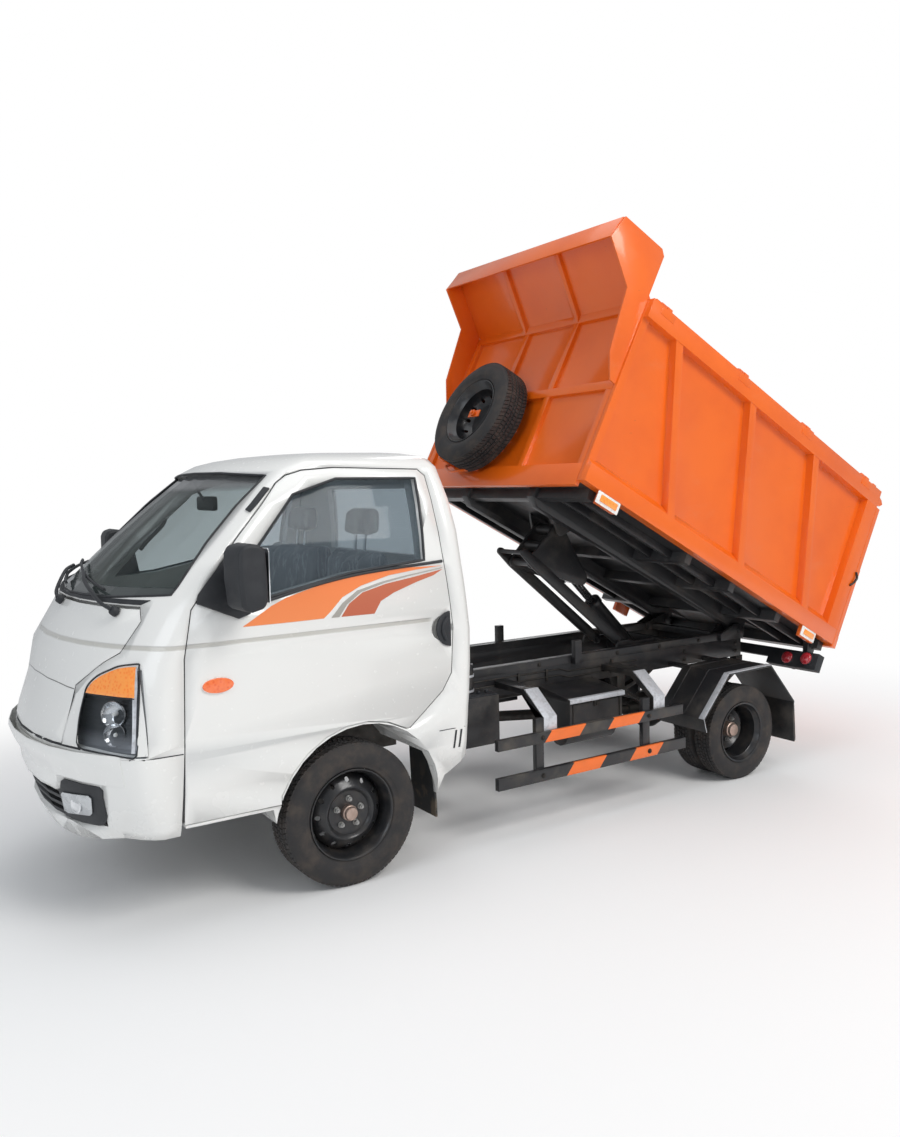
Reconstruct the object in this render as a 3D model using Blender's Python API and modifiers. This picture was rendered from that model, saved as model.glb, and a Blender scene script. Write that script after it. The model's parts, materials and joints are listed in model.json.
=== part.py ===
"""Small forward-cab tipper truck for household waste, with its covered bed raised.

Metres, +X forward, +Y to the truck's left, +Z up. Sizes below count X from the front axle and Z from
the ground; the root empty then moves the whole truck so that its box is centred on the world origin.
Bed sizes are counted in the bed's own square: U forward from its rear bottom corner, V up from its floor.
"""
import math

import bmesh
import bpy
from mathutils import Matrix, Vector

# Fits and clearances
SEAT_GAP = 0.0003          # between faces that rest on each other
PANEL_GAP = 0.0055         # round doors, lids and other moving panels
PIN_GAP = 0.0005           # radial, between a pin and its eye
PIN_SIDES = 16

# Wheels
WHEELBASE = 2.64
WHEEL_STEPS = 20
FRONT_TYRE_RADIUS = 0.3325
FRONT_TYRE_WIDTH = 0.195
FRONT_RIM_RADIUS = 0.205
FRONT_WHEEL_Y = 0.7425
FRONT_OFFSET = 0.030       # bolting face of the front rim, out from the wheel's middle
REAR_TYRE_RADIUS = 0.285
REAR_TYRE_WIDTH = 0.145
REAR_RIM_RADIUS = 0.176
REAR_TWIN_Y = 0.6615       # plane where the two rear rims meet
REAR_TWIN_SPACING = 0.167
RIM_SHARE = 0.84           # width of a rim over its tyre's
BEAD_STEP = 0.0045         # from the rim's radius out to the tyre's bead
KINGPIN_Y = 0.69
KINGPIN_RADIUS = 0.016

# Chassis
RAIL_INNER_Y = 0.30
RAIL_OUTER_Y = 0.36
RAIL_BOTTOM_Z = 0.635
RAIL_TOP_Z = 0.755
RAIL_FRONT_X = 1.00
RAIL_DROP_Z = 0.595        # top of the rails under the foot well
RAIL_REAR_X = -WHEELBASE - 0.51
SUBFRAME_TOP_Z = 0.800
SUBFRAME_FRONT_X = -0.80

# Bed, in its own square
BED_LENGTH = 2.33
BED_HEIGHT = 1.08
BED_HALF_WIDTH = 0.85
SIDE_INNER_Y = BED_HALF_WIDTH - 0.065
SHEET = 0.012              # thickness of the bed's pressed sheets
FLOOR_THICKNESS = 0.03
SILL_DEPTH = 0.10
HINGE_U = 0.33             # tipping hinge, ahead of the bed's rear end
TIP_ANGLE = math.radians(27.81)
HINGE_X = -WHEELBASE - 0.4644
HINGE_Z = 0.8065
HINGE_PIN_RADIUS = 0.02
HEAD_U = BED_LENGTH - 0.04      # rear face of the headboard's sheet
HEAD_FACE_U = BED_LENGTH - 0.025
MIDDLE_RAIL_V = BED_HEIGHT - 0.516
CANOPY_TIP = (BED_LENGTH + 0.37, BED_HEIGHT + 0.15)
CANOPY_TOP = (BED_LENGTH + 0.33, BED_HEIGHT + 0.30)
EAR_OUTLINE = [
    (BED_LENGTH - 0.03, BED_HEIGHT * 0.5185), (BED_LENGTH + 0.04, BED_HEIGHT * 0.523),
    (BED_LENGTH + 0.11, BED_HEIGHT * 0.648), (BED_LENGTH + 0.155, BED_HEIGHT - 0.02), CANOPY_TIP, CANOPY_TOP,
    (BED_LENGTH + 0.03, BED_HEIGHT + 0.30), (BED_LENGTH, BED_HEIGHT + 0.27), (BED_LENGTH, BED_HEIGHT - 0.03),
    (BED_LENGTH - 0.03, BED_HEIGHT - 0.03)]
POST_FEET = ((0.7159, 0.080), (0.4421, 0.106), (0.1567, 0.106))         # share of the length, then V
POST_HEADS = ((0.8828, 0.104), (0.5850, 0.125), (0.2987, 0.140))        # share, then down from the top
CROSS_MEMBERS = (0.025, BED_LENGTH * 0.2146, BED_LENGTH * 0.4163, BED_LENGTH * 0.5923, BED_LENGTH - 0.13)
LID_HINGES = (BED_LENGTH - 0.14, BED_LENGTH * 0.639, BED_LENGTH * 0.363, 0.164)
LID_AXIS = (BED_HALF_WIDTH - 0.025, BED_HEIGHT + 0.016)
LID_PIN_RADIUS = 0.006
GATE_AXIS = (-0.030, BED_HEIGHT - 0.07)
GATE_TOP = GATE_AXIS[1] + 0.018
GATE_REAR_U = -0.048
SPARE = (0.595 - SIDE_INNER_Y, 0.375)
SPARE_U = BED_LENGTH + 0.115

# Hoist
LINK_FOOT = (HINGE_X + 0.8044, 0.780)
CYLINDER_FOOT = (HINGE_X + 0.6044, 0.715)
ARM_TIP = (HINGE_X + 1.4844, 1.334)
ARM_HEEL = (HINGE_X + 1.1044, 1.213)
ARM_PIVOT_UV = (HINGE_U + 0.735 * (BED_LENGTH - HINGE_U), -0.07)
ARM_INNER_Y = 0.080
ARM_OUTER_Y = 0.098
LINK_INNER_Y = 0.105
LINK_OUTER_Y = 0.125
LINK_TIE_REACH = 0.106     # of the cross bar that joins the two links, past the arm's tip
PIVOT_RADIUS = 0.018

# Guards, counted from the rear axle where they follow it
GUARD_FACE_Y = 0.80
GUARD_FRONT_X = -0.825
GUARD_REAR_X = -WHEELBASE + 0.51
BRACKET_FRONT_X = GUARD_FRONT_X - 0.353
BRACKET_REAR_X = GUARD_REAR_X + 0.168
BRACKET_HALF = 0.045
MUDGUARD_LINE = [
    (-WHEELBASE + 0.369, 0.352), (-WHEELBASE + 0.390, 0.431), (-WHEELBASE + 0.176, 0.671),
    (-WHEELBASE - 0.198, 0.678), (-WHEELBASE - 0.416, 0.427), (-WHEELBASE - 0.411, 0.355),
    (-WHEELBASE - 0.425, 0.170)]
MUDGUARD_SHEET = 0.010
MUDGUARD_INNER_Y = REAR_TWIN_Y - 0.1615
MUDGUARD_OUTER_Y = REAR_TWIN_Y + 0.1985

# Cab, levels as (height, nose, half width, rear wall, how far the front curves back at the side)
CAB_LEVELS = (
    (0.330, 1.135, 0.810, -0.620, 0.27),
    (0.450, 1.190, 0.845, -0.625, 0.27),
    (0.583, 1.224, 0.858, -0.632, 0.27),
    (0.753, 1.241, 0.866, -0.640, 0.27),
    (0.818, 1.230, 0.868, -0.645, 0.27),
    (0.976, 1.176, 0.870, -0.653, 0.27),
    (1.130, 1.145, 0.870, -0.655, 0.27),
    (1.269, 1.058, 0.864, -0.644, 0.26),
    (1.380, 0.990, 0.853, -0.636, 0.25),
    (1.430, 0.935, 0.846, -0.632, 0.25),
    (1.600, 0.754, 0.812, -0.628, 0.22),
    (1.750, 0.574, 0.768, -0.612, 0.19),
    (1.904, 0.375, 0.705, -0.586, 0.17),
    (1.940, 0.300, 0.655, -0.574, 0.15),
    (1.960, 0.215, 0.590, -0.552, 0.13),
    (1.975, 0.110, 0.490, -0.510, 0.11),
    (1.982, 0.020, 0.400, -0.465, 0.10),
)
FRONT_STEPS = (0.0, 0.25, 0.48, 0.68, 0.84, 0.925, 0.970, 0.993)
FRONT_CURVE_POWER = 2.2
CORNER_POWER = 10.0
CORNER_LENGTH = 0.20
REAR_CORNER_RADIUS = 0.05
CAB_WALL = 0.045
DOOR_WALL = 0.075
FIREWALL_X = 0.890
FLOOR_Z = 0.660
RISER_Z = 0.830
RISER_FRONT_X = 0.42
TUNNEL_HALF = 0.37
ARCH_X = -0.045
ARCH_Z = 0.335
ARCH_RADIUS = 0.417
BUMPER_TOP_Z = 0.757
BUMPER_REAR_X = 0.772

DOOR_EDGE = [
    (0.776, 0.457), (0.765, 0.80), (0.751, 1.141), (0.710, 1.336), (0.495, 1.603), (0.262, 1.840),
    (0.215, 1.872), (0.140, 1.893), (-0.016, 1.903), (-0.455, 1.890), (-0.487, 1.860),
    (-0.508, 1.456), (-0.534, 1.149), (-0.520, 0.930), (-0.470, 0.850), (-0.290, 0.700),
]                          # from the sill's front end round to the wheel arch
DOOR_SILL_END = (0.352, 0.457)
WINDOW_OUTLINE = [
    (-0.405, 1.470), (-0.431, 1.850), (-0.016, 1.855), (0.205, 1.790), (0.440, 1.535), (0.600, 1.352),
    (0.364, 1.365), (-0.016, 1.436),
]
SCREEN_OUTLINE = [
    (-0.765, 1.395), (-0.45, 1.375), (0.0, 1.368), (0.45, 1.375), (0.765, 1.395), (0.625, 1.875),
    (0.30, 1.893), (0.0, 1.897), (-0.30, 1.893), (-0.625, 1.875),
]
REAR_WINDOW_OUTLINE = [(-0.50, 1.46), (0.50, 1.46), (0.46, 1.80), (-0.46, 1.80)]
BONNET_OUTLINE = [
    (-0.47, 0.785), (0.47, 0.785), (0.47, 1.02), (0.68, 1.17), (0.70, 1.290), (0.66, 1.335),
    (-0.66, 1.335), (-0.70, 1.290), (-0.68, 1.17), (-0.47, 1.02),
]
LAMP_FRONT = [(0.49, 0.785), (0.93, 0.760), (0.93, 1.130), (0.70, 1.090), (0.49, 0.985)]
LAMP_SIDE = [(0.915, 0.70), (1.30, 0.70), (1.30, 1.20), (0.905, 1.20)]
HIDDEN_LEDGE = 0.022       # step between a panel's outer skin and its inner box
MOUTH_DEPTH = 0.038        # of the opening behind the bonnet
BONNET_LIFT = 0.0064       # more room above the bonnet, where its top edge rises
BONNET_HINGE = (0.800, 0.0, 1.450)
DOOR_HINGE = (0.785, 0.872, 1.0)

# Colours as linear red, green, blue, then roughness and metallic value
FINISHES = {
    "white_paint": ((0.80, 0.81, 0.80), 0.25, 0.0),
    "orange_paint": ((0.85, 0.16, 0.02), 0.28, 0.0),
    "black_paint": ((0.012, 0.012, 0.014), 0.5, 0.0),
    "black_plastic": ((0.02, 0.02, 0.022), 0.6, 0.0),
    "tyre_rubber": ((0.015, 0.015, 0.015), 0.85, 0.0),
    "black_steel": ((0.02, 0.02, 0.025), 0.4, 0.6),
    "bare_steel": ((0.55, 0.55, 0.55), 0.35, 0.9),
    "clear_glass": ((0.60, 0.68, 0.68), 0.05, 0.0),
    "lamp_glass": ((0.75, 0.75, 0.75), 0.08, 0.2),
    "red_lens": ((0.45, 0.01, 0.01), 0.15, 0.0),
    "seat_cloth": ((0.06, 0.06, 0.065), 0.9, 0.0),
}


def clear_scene():
    for thing in list(bpy.data.objects):
        bpy.data.objects.remove(thing)


def new_collection(name):
    made = bpy.data.collections.new(name)
    bpy.context.scene.collection.children.link(made)
    return made


def finish(name):
    """The material of this name, made once."""
    if name in bpy.data.materials:
        return bpy.data.materials[name]
    colour, roughness, metallic = FINISHES[name]
    made = bpy.data.materials.new(name)
    made.use_nodes = True
    shader = made.node_tree.nodes["Principled BSDF"]
    shader.inputs["Base Color"].default_value = (*colour, 1.0)
    shader.inputs["Roughness"].default_value = roughness
    shader.inputs["Metallic"].default_value = metallic
    return made


clear_scene()
TRUCK = new_collection("garbage_truck")
CUTTERS = new_collection("cutters")


def empty(name, location, parent=None, tilt=0.0):
    made = bpy.data.objects.new(name, None)
    TRUCK.objects.link(made)
    made.parent = parent
    made.location = location
    made.rotation_euler = (0.0, -tilt, 0.0)
    return made


# Raw shapes, each a new helper object in the coordinates of its station

def helper(mesh, name="piece"):
    made = bpy.data.objects.new(name, mesh)
    CUTTERS.objects.link(made)
    made.hide_render = True
    made.display_type = "WIRE"
    return made


def meshed(source, outward=True):
    """The evaluated shape of a curve or of an object with modifiers, as a plain welded mesh.

    The faces of a raw shape are turned outwards. A cut shape may hold a hollow, so its faces stay as they are.
    """
    bpy.context.view_layer.update()
    graph = bpy.context.evaluated_depsgraph_get()
    mesh = bpy.data.meshes.new_from_object(source.evaluated_get(graph))
    mesh.transform(source.matrix_basis)
    made = bmesh.new()
    made.from_mesh(mesh)
    bmesh.ops.remove_doubles(made, verts=made.verts, dist=0.00001)
    if outward:
        bmesh.ops.recalc_face_normals(made, faces=made.faces)
    made.to_mesh(mesh)
    made.free()
    bpy.data.objects.remove(source)
    return helper(mesh)


def box(low, high):
    """A block between two corners."""
    low, high = Vector(low), Vector(high)
    mesh = bpy.data.meshes.new("block")
    made = bmesh.new()
    bmesh.ops.create_cube(made, size=1.0)
    size = high - low
    made.transform(Matrix.Translation((low + high) / 2) @ Matrix.Diagonal((*size, 1.0)))
    made.to_mesh(mesh)
    made.free()
    return helper(mesh)


def rod(start, end, radius, sides=16, end_radius=None):
    """A round bar, or a cone, between two points."""
    start, end = Vector(start), Vector(end)
    along = end - start
    mesh = bpy.data.meshes.new("bar")
    made = bmesh.new()
    bmesh.ops.create_cone(
        made, cap_ends=True, segments=sides, radius1=radius,
        radius2=radius if end_radius is None else end_radius, depth=along.length)
    turn = Vector((0, 0, 1)).rotation_difference(along).to_matrix().to_4x4()
    made.transform(Matrix.Translation((start + end) / 2) @ turn)
    made.to_mesh(mesh)
    made.free()
    return helper(mesh)


def ball(centre, radius, sides=14):
    mesh = bpy.data.meshes.new("ball")
    made = bmesh.new()
    bmesh.ops.create_uvsphere(made, u_segments=sides, v_segments=sides // 2, radius=radius)
    made.transform(Matrix.Translation(centre))
    made.to_mesh(mesh)
    made.free()
    return helper(mesh)


PLANES = {
    "X": Matrix(((0, 0, 1, 0), (1, 0, 0, 0), (0, 1, 0, 0), (0, 0, 0, 1))),
    "Y": Matrix(((1, 0, 0, 0), (0, 0, -1, 0), (0, 1, 0, 0), (0, 0, 0, 1))),
    "Z": Matrix.Identity(4),
}


def plate(outline, across, start, end):
    """A flat outline given thickness between two places along the axis across it.

    The outline's points are (y, z) across X, (x, z) across Y and (x, y) across Z.
    """
    curve = bpy.data.curves.new("outline", "CURVE")
    curve.dimensions = "2D"
    curve.fill_mode = "BOTH"
    curve.extrude = abs(end - start) / 2
    spline = curve.splines.new("POLY")
    spline.points.add(len(outline) - 1)
    for point, (a, b) in zip(spline.points, outline):
        point.co = (a, b, 0.0, 1.0)
    spline.use_cyclic_u = True
    made = bpy.data.objects.new("outline", curve)
    CUTTERS.objects.link(made)
    middle = (start + end) / 2
    shift = {"X": (middle, 0, 0), "Y": (0, middle, 0), "Z": (0, 0, middle)}[across]
    made.matrix_basis = Matrix.Translation(shift) @ PLANES[across]
    return meshed(made)


def pipe(points, radius, sides=8):
    """A bent round bar through the points."""
    curve = bpy.data.curves.new("route", "CURVE")
    curve.dimensions = "3D"
    curve.bevel_depth = radius
    curve.bevel_resolution = sides // 2 - 2
    curve.use_fill_caps = True
    spline = curve.splines.new("POLY")
    spline.points.add(len(points) - 1)
    for point, place in zip(spline.points, points):
        point.co = (*place, 1.0)
    made = bpy.data.objects.new("route", curve)
    CUTTERS.objects.link(made)
    return meshed(made)


def turned(profile, centre, steps, closed=False):
    """A profile of (radius, place along Y) pairs turned about the Y axis through centre."""
    mesh = bpy.data.meshes.new("profile")
    edges = [(i, i + 1) for i in range(len(profile) - 1)]
    if closed:
        edges.append((len(profile) - 1, 0))
    mesh.from_pydata([(radius, along, 0.0) for radius, along in profile], edges, [])
    made = helper(mesh)
    made.location = centre
    screw = made.modifiers.new("turn", "SCREW")
    screw.axis = "Y"
    screw.steps = steps
    screw.render_steps = steps
    screw.use_merge_vertices = True
    screw.merge_threshold = 0.0001
    return meshed(made)


def moved(points, da, db):
    return [(a + da, b + db) for a, b in points]


def arc(centre, radius, start, end, count):
    """Points along a round stretch, angles in degrees from the first axis."""
    angles = [math.radians(start + (end - start) * i / count) for i in range(count + 1)]
    return [(centre[0] + radius * math.cos(a), centre[1] + radius * math.sin(a)) for a in angles]


def door_outline():
    """The door's edge seen from the side, cut away round the wheel arch."""
    return [*DOOR_EDGE, *arc((ARCH_X, ARCH_Z), ARCH_RADIUS + 0.012, 122, 22, 7), DOOR_SILL_END]


def grown(outline, by):
    """The outline with every side moved outwards by a distance, or inwards if it is negative."""
    area = sum(a[0] * b[1] - b[0] * a[1] for a, b in zip(outline, outline[1:] + outline[:1]))
    turn = 1.0 if area > 0 else -1.0
    result = []
    for i, here in enumerate(outline):
        before, after = Vector(outline[i - 1]), Vector(outline[(i + 1) % len(outline)])
        here = Vector(here)
        first, second = (here - before).normalized(), (after - here).normalized()
        out_first = Vector((first.y, -first.x)) * turn
        out_second = Vector((second.y, -second.x)) * turn
        middle = (out_first + out_second).normalized()
        result.append(tuple(here + middle * by / max(0.4, middle.dot(out_first))))
    return result


# Nodes

def combine(base, others, operation):
    """The base with other closed shapes joined to it, taken from it or kept in common with it."""
    if not others:
        return base
    gathered = bpy.data.collections.new("others")
    CUTTERS.children.link(gathered)
    for other in others:
        gathered.objects.link(other)
    modifier = base.modifiers.new(operation, "BOOLEAN")
    modifier.operation = operation
    modifier.operand_type = "COLLECTION"
    modifier.collection = gathered
    made = meshed(base, outward=False)
    for other in others:
        bpy.data.objects.remove(other)
    bpy.data.collections.remove(gathered)
    return made


def carved(base, cuts=(), keep=(), joins=()):
    """A helper with others joined, then cut to what lies in each kept shape, then the cuts taken away."""
    base = combine(base, joins, "UNION")
    for other in keep:
        base = combine(base, [other], "INTERSECT")
    return combine(base, cuts, "DIFFERENCE")


def node(name, pieces, cuts=(), paint="black_paint", station=None, origin=(0, 0, 0)):
    """One named body: the pieces joined and the cuts taken away."""
    made = carved(pieces[0], cuts=cuts, joins=pieces[1:])
    made.name = name
    CUTTERS.objects.unlink(made)
    TRUCK.objects.link(made)
    made.hide_render = False
    made.display_type = "TEXTURED"
    made.data.transform(Matrix.Translation(-Vector(origin)))
    made.parent = station
    made.location = origin
    made.data.materials.clear()
    made.data.materials.append(finish(paint))
    made.data.shade_smooth()
    made.data.set_sharp_from_angle(angle=math.radians(35))
    return made


def copy_of(shape):
    return helper(shape.data.copy())


def mirrored(left, name):
    """The right-hand twin of a left-hand node."""
    mesh = left.data.copy()
    mesh.transform(Matrix.Diagonal((1, -1, 1, 1)))
    mesh.flip_normals()
    made = bpy.data.objects.new(name, mesh)
    TRUCK.objects.link(made)
    made.parent = left.parent
    made.location = left.location * Vector((1, -1, 1))
    return made


# Cab loft

def level_at(height):
    """The cab's sizes at one height, read between its levels."""
    rows = CAB_LEVELS
    if height <= rows[0][0]:
        return (height, *rows[0][1:])
    for low, high in zip(rows, rows[1:]):
        if height <= high[0]:
            share = (height - low[0]) / (high[0] - low[0])
            return tuple(a + (b - a) * share for a, b in zip(low, high))
    return rows[-1]


def cab_ring(level, inset):
    """The cab's plan at one level, drawn in by a distance, as a closed list of (x, y)."""
    _, nose, half, rear, drop = level
    nose, half, rear = nose - inset, half - inset, rear + inset
    radius = REAR_CORNER_RADIUS
    side_x = nose - drop - min(CORNER_LENGTH, 0.6 * (nose - drop - rear - radius))
    left = []
    for step in FRONT_STEPS:
        face = nose - drop * step ** FRONT_CURVE_POWER
        rounding = (1 - step ** CORNER_POWER) ** (1 / CORNER_POWER)
        left.append((side_x + (face - side_x) * rounding, half * step))
    left += [(side_x, half), (rear + radius, half), (rear + radius * 0.29, half - radius * 0.29)]
    left += [(rear, half - radius)]
    right = [(x, -y) for x, y in reversed(left) if y > 0]
    return left + right


def cab_loft(inset=0.0, low=CAB_LEVELS[0][0], high=CAB_LEVELS[-1][0]):
    """The cab's closed outer shape between two heights, or the same shape drawn in by a wall."""
    between = [row for row in CAB_LEVELS if low < row[0] < high]
    levels = [level_at(low), *between, level_at(high)]
    made = bmesh.new()
    rings = []
    for level in levels:
        sink = inset * min(1.0, max(0.0, (level[0] - 1.35) / 0.3))
        height = level[0] - sink
        rings.append([made.verts.new((x, y, height)) for x, y in cab_ring(level, inset)])
    for lower, upper in zip(rings, rings[1:]):
        count = len(lower)
        for i in range(count):
            j = (i + 1) % count
            made.faces.new((lower[i], lower[j], upper[j], upper[i]))
    made.faces.new(list(reversed(rings[0])))
    made.faces.new(rings[-1])
    bmesh.ops.recalc_face_normals(made, faces=made.faces)
    mesh = bpy.data.meshes.new("cab")
    made.to_mesh(mesh)
    made.free()
    return helper(mesh)





def cab_underside():
    """What lies below the cab: the sills' line, the wheel arches and the hollow beneath the seats."""
    below = plate([
        (1.40, 0.10), (1.40, 0.44), (0.388, 0.44), (0.35, 0.30), (-0.45, 0.30), (-0.488, 0.431),
        (-0.623, 0.512), (-0.80, 0.520), (-0.80, 0.10)], "Y", -1.0, 1.0)
    arches = rod((ARCH_X, -1.0, ARCH_Z), (ARCH_X, 1.0, ARCH_Z), ARCH_RADIUS, 32)
    behind = box((-0.60, -0.78, 0.20), (-0.40, 0.78, 0.77))
    ahead = box((0.30, -0.56, 0.20), (0.80, 0.56, FLOOR_Z - 0.055))
    tunnel = box((-0.75, -TUNNEL_HALF, 0.15), (RISER_FRONT_X - 0.02, TUNNEL_HALF, RISER_Z - 0.045))
    return [below, arches, behind, ahead, tunnel]


def bumper_space():
    """The room that the bumper takes, round the tub of the foot well."""
    room = plate([
        (BUMPER_REAR_X - SEAT_GAP, 0.10), (1.40, 0.10), (1.40, BUMPER_TOP_Z + SEAT_GAP),
        (BUMPER_REAR_X - SEAT_GAP, BUMPER_TOP_Z + SEAT_GAP)], "Y", -1.0, 1.0)
    return carved(room, cuts=[cab_loft(0.12, FLOOR_Z - 0.05, 1.0)])


def cabin_space():
    """The hollow of the cabin, with the foot well ahead of the seat riser and the firewall ahead of it."""
    ahead = box((FIREWALL_X, -1.0, 0.5), (1.4, 1.0, 1.345))
    riser = box((-1.0, -1.0, 0.5), (RISER_FRONT_X, 1.0, RISER_Z))
    return carved(cab_loft(CAB_WALL, FLOOR_Z), cuts=[ahead, riser])


def nose_space():
    """The service bay between the bonnet and the firewall."""
    room = box((FIREWALL_X + 0.03, -0.64, 0.80), (1.40, 0.64, 1.31))
    return carved(cab_loft(MOUTH_DEPTH - 0.008, 0.79, 1.45), keep=[room])


def lamp_room(side, grow):
    """The corner block of a headlamp, or the pocket that holds it."""
    front = [(side * y, z) for y, z in grown(LAMP_FRONT, grow)]
    block = plate(front, "X", 0.80, 1.30)
    return carved(block, keep=[plate(grown(LAMP_SIDE, grow), "Y", -1.0, 1.0)])


def make_cab(root):
    skin = cab_loft()
    cuts = cab_underside() + [bumper_space(), cabin_space()]
    cuts += [plate(SCREEN_OUTLINE, "X", 0.15, 1.40)]
    cuts += [plate(REAR_WINDOW_OUTLINE, "X", -0.80, -0.40)]
    for side in (-1, 1):
        low, high = sorted((side * 0.60, side * 1.0))
        cuts.append(plate(grown(door_outline(), PANEL_GAP), "Y", low, high))
        cuts.append(lamp_room(side, SEAT_GAP))
    skin = carved(skin, cuts=cuts)
    raised = [(y, z + BONNET_LIFT if z > 1.3 else z) for y, z in BONNET_OUTLINE]
    mouth = carved(cab_loft(-0.02), cuts=[cab_loft(MOUTH_DEPTH)],
                   keep=[plate(grown(raised, PANEL_GAP), "X", 0.75, 1.40)])
    skin = carved(skin, cuts=[mouth])
    leaves = []
    for side in (-1, 1):
        low, high = sorted((side * 0.830, side * 0.860))
        for x, z in ((0.7655, 0.800), (0.7532, 1.100)):
            leaves.append(box((x, low, z), (x + 0.028, high, z + 0.05)))
        middle = side * 0.30
        leaves.append(box((1.170, middle - 0.02, 0.765),
                          (1.207, middle + 0.02, BONNET_OUTLINE[0][1] - PIN_GAP)))
    return node("cab_shell", [skin] + leaves, [nose_space()], paint="white_paint", station=root)


def make_glass(root):
    """Windscreen and rear window, thin shells that fill their openings."""
    front = plate(grown(SCREEN_OUTLINE, -SEAT_GAP), "X", 0.15, 1.40)
    pane = carved(cab_loft(0.012), cuts=[cab_loft(0.018)])
    node("windscreen", [carved(copy_of(pane), keep=[front])], paint="clear_glass", station=root)
    rear = plate(grown(REAR_WINDOW_OUTLINE, -SEAT_GAP), "X", -0.80, -0.40)
    node("rear_window", [carved(pane, keep=[rear])], paint="clear_glass", station=root)


def make_bumper(root):
    """Wrap-round bumper skin with its mouth, and the black grille and fog lamps in it."""
    outline = [
        (BUMPER_REAR_X, BUMPER_TOP_Z), (1.40, BUMPER_TOP_Z), (1.40, 0.335), (1.10, 0.335),
        (0.98, 0.405), (BUMPER_REAR_X + 0.02, 0.410)]
    mouth = [
        (-0.68, 0.625), (-0.39, 0.605), (-0.37, 0.565), (0.37, 0.565), (0.39, 0.605), (0.68, 0.625),
        (0.65, 0.450), (0.36, 0.425), (-0.36, 0.425), (-0.65, 0.450)]
    skin = carved(cab_loft(), keep=[plate(outline, "Y", -1.0, 1.0)])
    hollow = cab_loft(0.05, 0.30, 1.3)
    node("front_bumper", [skin], [hollow, plate(mouth, "X", 0.80, 1.40)],
         paint="white_paint", station=root)
    backing = carved(cab_loft(0.018, 0.36, 0.9), cuts=[cab_loft(0.040, 0.32, 1.0)],
                     keep=[plate(grown(mouth, -SEAT_GAP), "X", 0.80, 1.40)])
    slots = []
    for row in range(3):
        low = 0.448 + row * 0.038
        slots.append(box((0.8, -0.33, low), (1.4, 0.33, low + 0.022)))
    lamps = [rod((1.02, side * 0.52, 0.53), (1.155, side * 0.52, 0.53), 0.055, 14) for side in (-1, 1)]
    node("bumper_grille", [backing] + lamps, slots, paint="black_plastic", station=root)


def make_headlamps(root):
    hollow = cab_loft(0.10, 0.5, 1.3)
    block = carved(lamp_room(1, 0.0), keep=[cab_loft()], cuts=[hollow])
    left = node("headlamp_left", [block], paint="lamp_glass", station=root)
    mirrored(left, "headlamp_right")


def make_bonnet(root):
    """Front flap hinged along its top edge under the windscreen."""
    skin = carved(cab_loft(), cuts=[cab_loft(0.005)], keep=[plate(BONNET_OUTLINE, "X", 0.75, 1.40)])
    frame = carved(cab_loft(0.004), cuts=[cab_loft(0.022)],
                   keep=[plate(grown(BONNET_OUTLINE, -HIDDEN_LEDGE), "X", 0.75, 1.40)])
    node("bonnet", [skin, frame], paint="white_paint", station=root, origin=BONNET_HINGE)





def make_doors(root):
    """Front-hinged doors: an outer skin, an inner box set back from its edge, glass and a mirror."""
    outer = plate(door_outline(), "Y", 0.60, 1.0)
    skin = carved(cab_loft(), cuts=[cab_loft(0.02)], keep=[outer])
    inner = plate(grown(door_outline(), -HIDDEN_LEDGE), "Y", 0.60, 1.0)
    inside = carved(cab_loft(0.015), cuts=[cab_loft(DOOR_WALL)], keep=[inner])
    window = plate(WINDOW_OUTLINE, "Y", 0.55, 1.0)
    bowl = ball((-0.475, 0.885, 1.146), 0.062)
    handle = rod((-0.491, 0.852, 1.090), (-0.491, 0.852, 1.200), 0.014, 10)
    left = node("door_left", [carved(skin, joins=[inside], cuts=[bowl]), handle], [window],
                paint="white_paint", station=root, origin=DOOR_HINGE)
    mirrored(left, "door_right")
    pane = carved(cab_loft(0.026), cuts=[cab_loft(0.032)],
                  keep=[plate(grown(WINDOW_OUTLINE, -SEAT_GAP), "Y", 0.55, 1.0)])
    glass = node("door_glass_left", [pane], paint="clear_glass", station=root, origin=DOOR_HINGE)
    mirrored(glass, "door_glass_right")
    make_mirrors(root)


def make_mirrors(root):
    """Black mirror on a sail panel that stands on the door's front corner."""
    sail = plate([(0.66, 1.385), (0.50, 1.565), (0.44, 1.36), (0.52, 1.335)], "Y", 0.80, 1.0)
    sail = carved(sail, cuts=[cab_loft(-SEAT_GAP)], keep=[cab_loft(-0.016)])
    arm = rod((0.515, 0.835, 1.44), (0.53, 0.98, 1.44), 0.020, 10)
    arm = carved(arm, cuts=[cab_loft(-0.004)])
    head = plate([(0.575, 1.345), (0.585, 1.58), (0.565, 1.605), (0.475, 1.600), (0.455, 1.575),
                  (0.450, 1.365), (0.470, 1.335), (0.555, 1.325)], "Y", 0.925, 1.09)
    left = node("mirror_left", [sail, arm, head], paint="black_plastic", station=root, origin=DOOR_HINGE)
    mirrored(left, "mirror_right")


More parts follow.
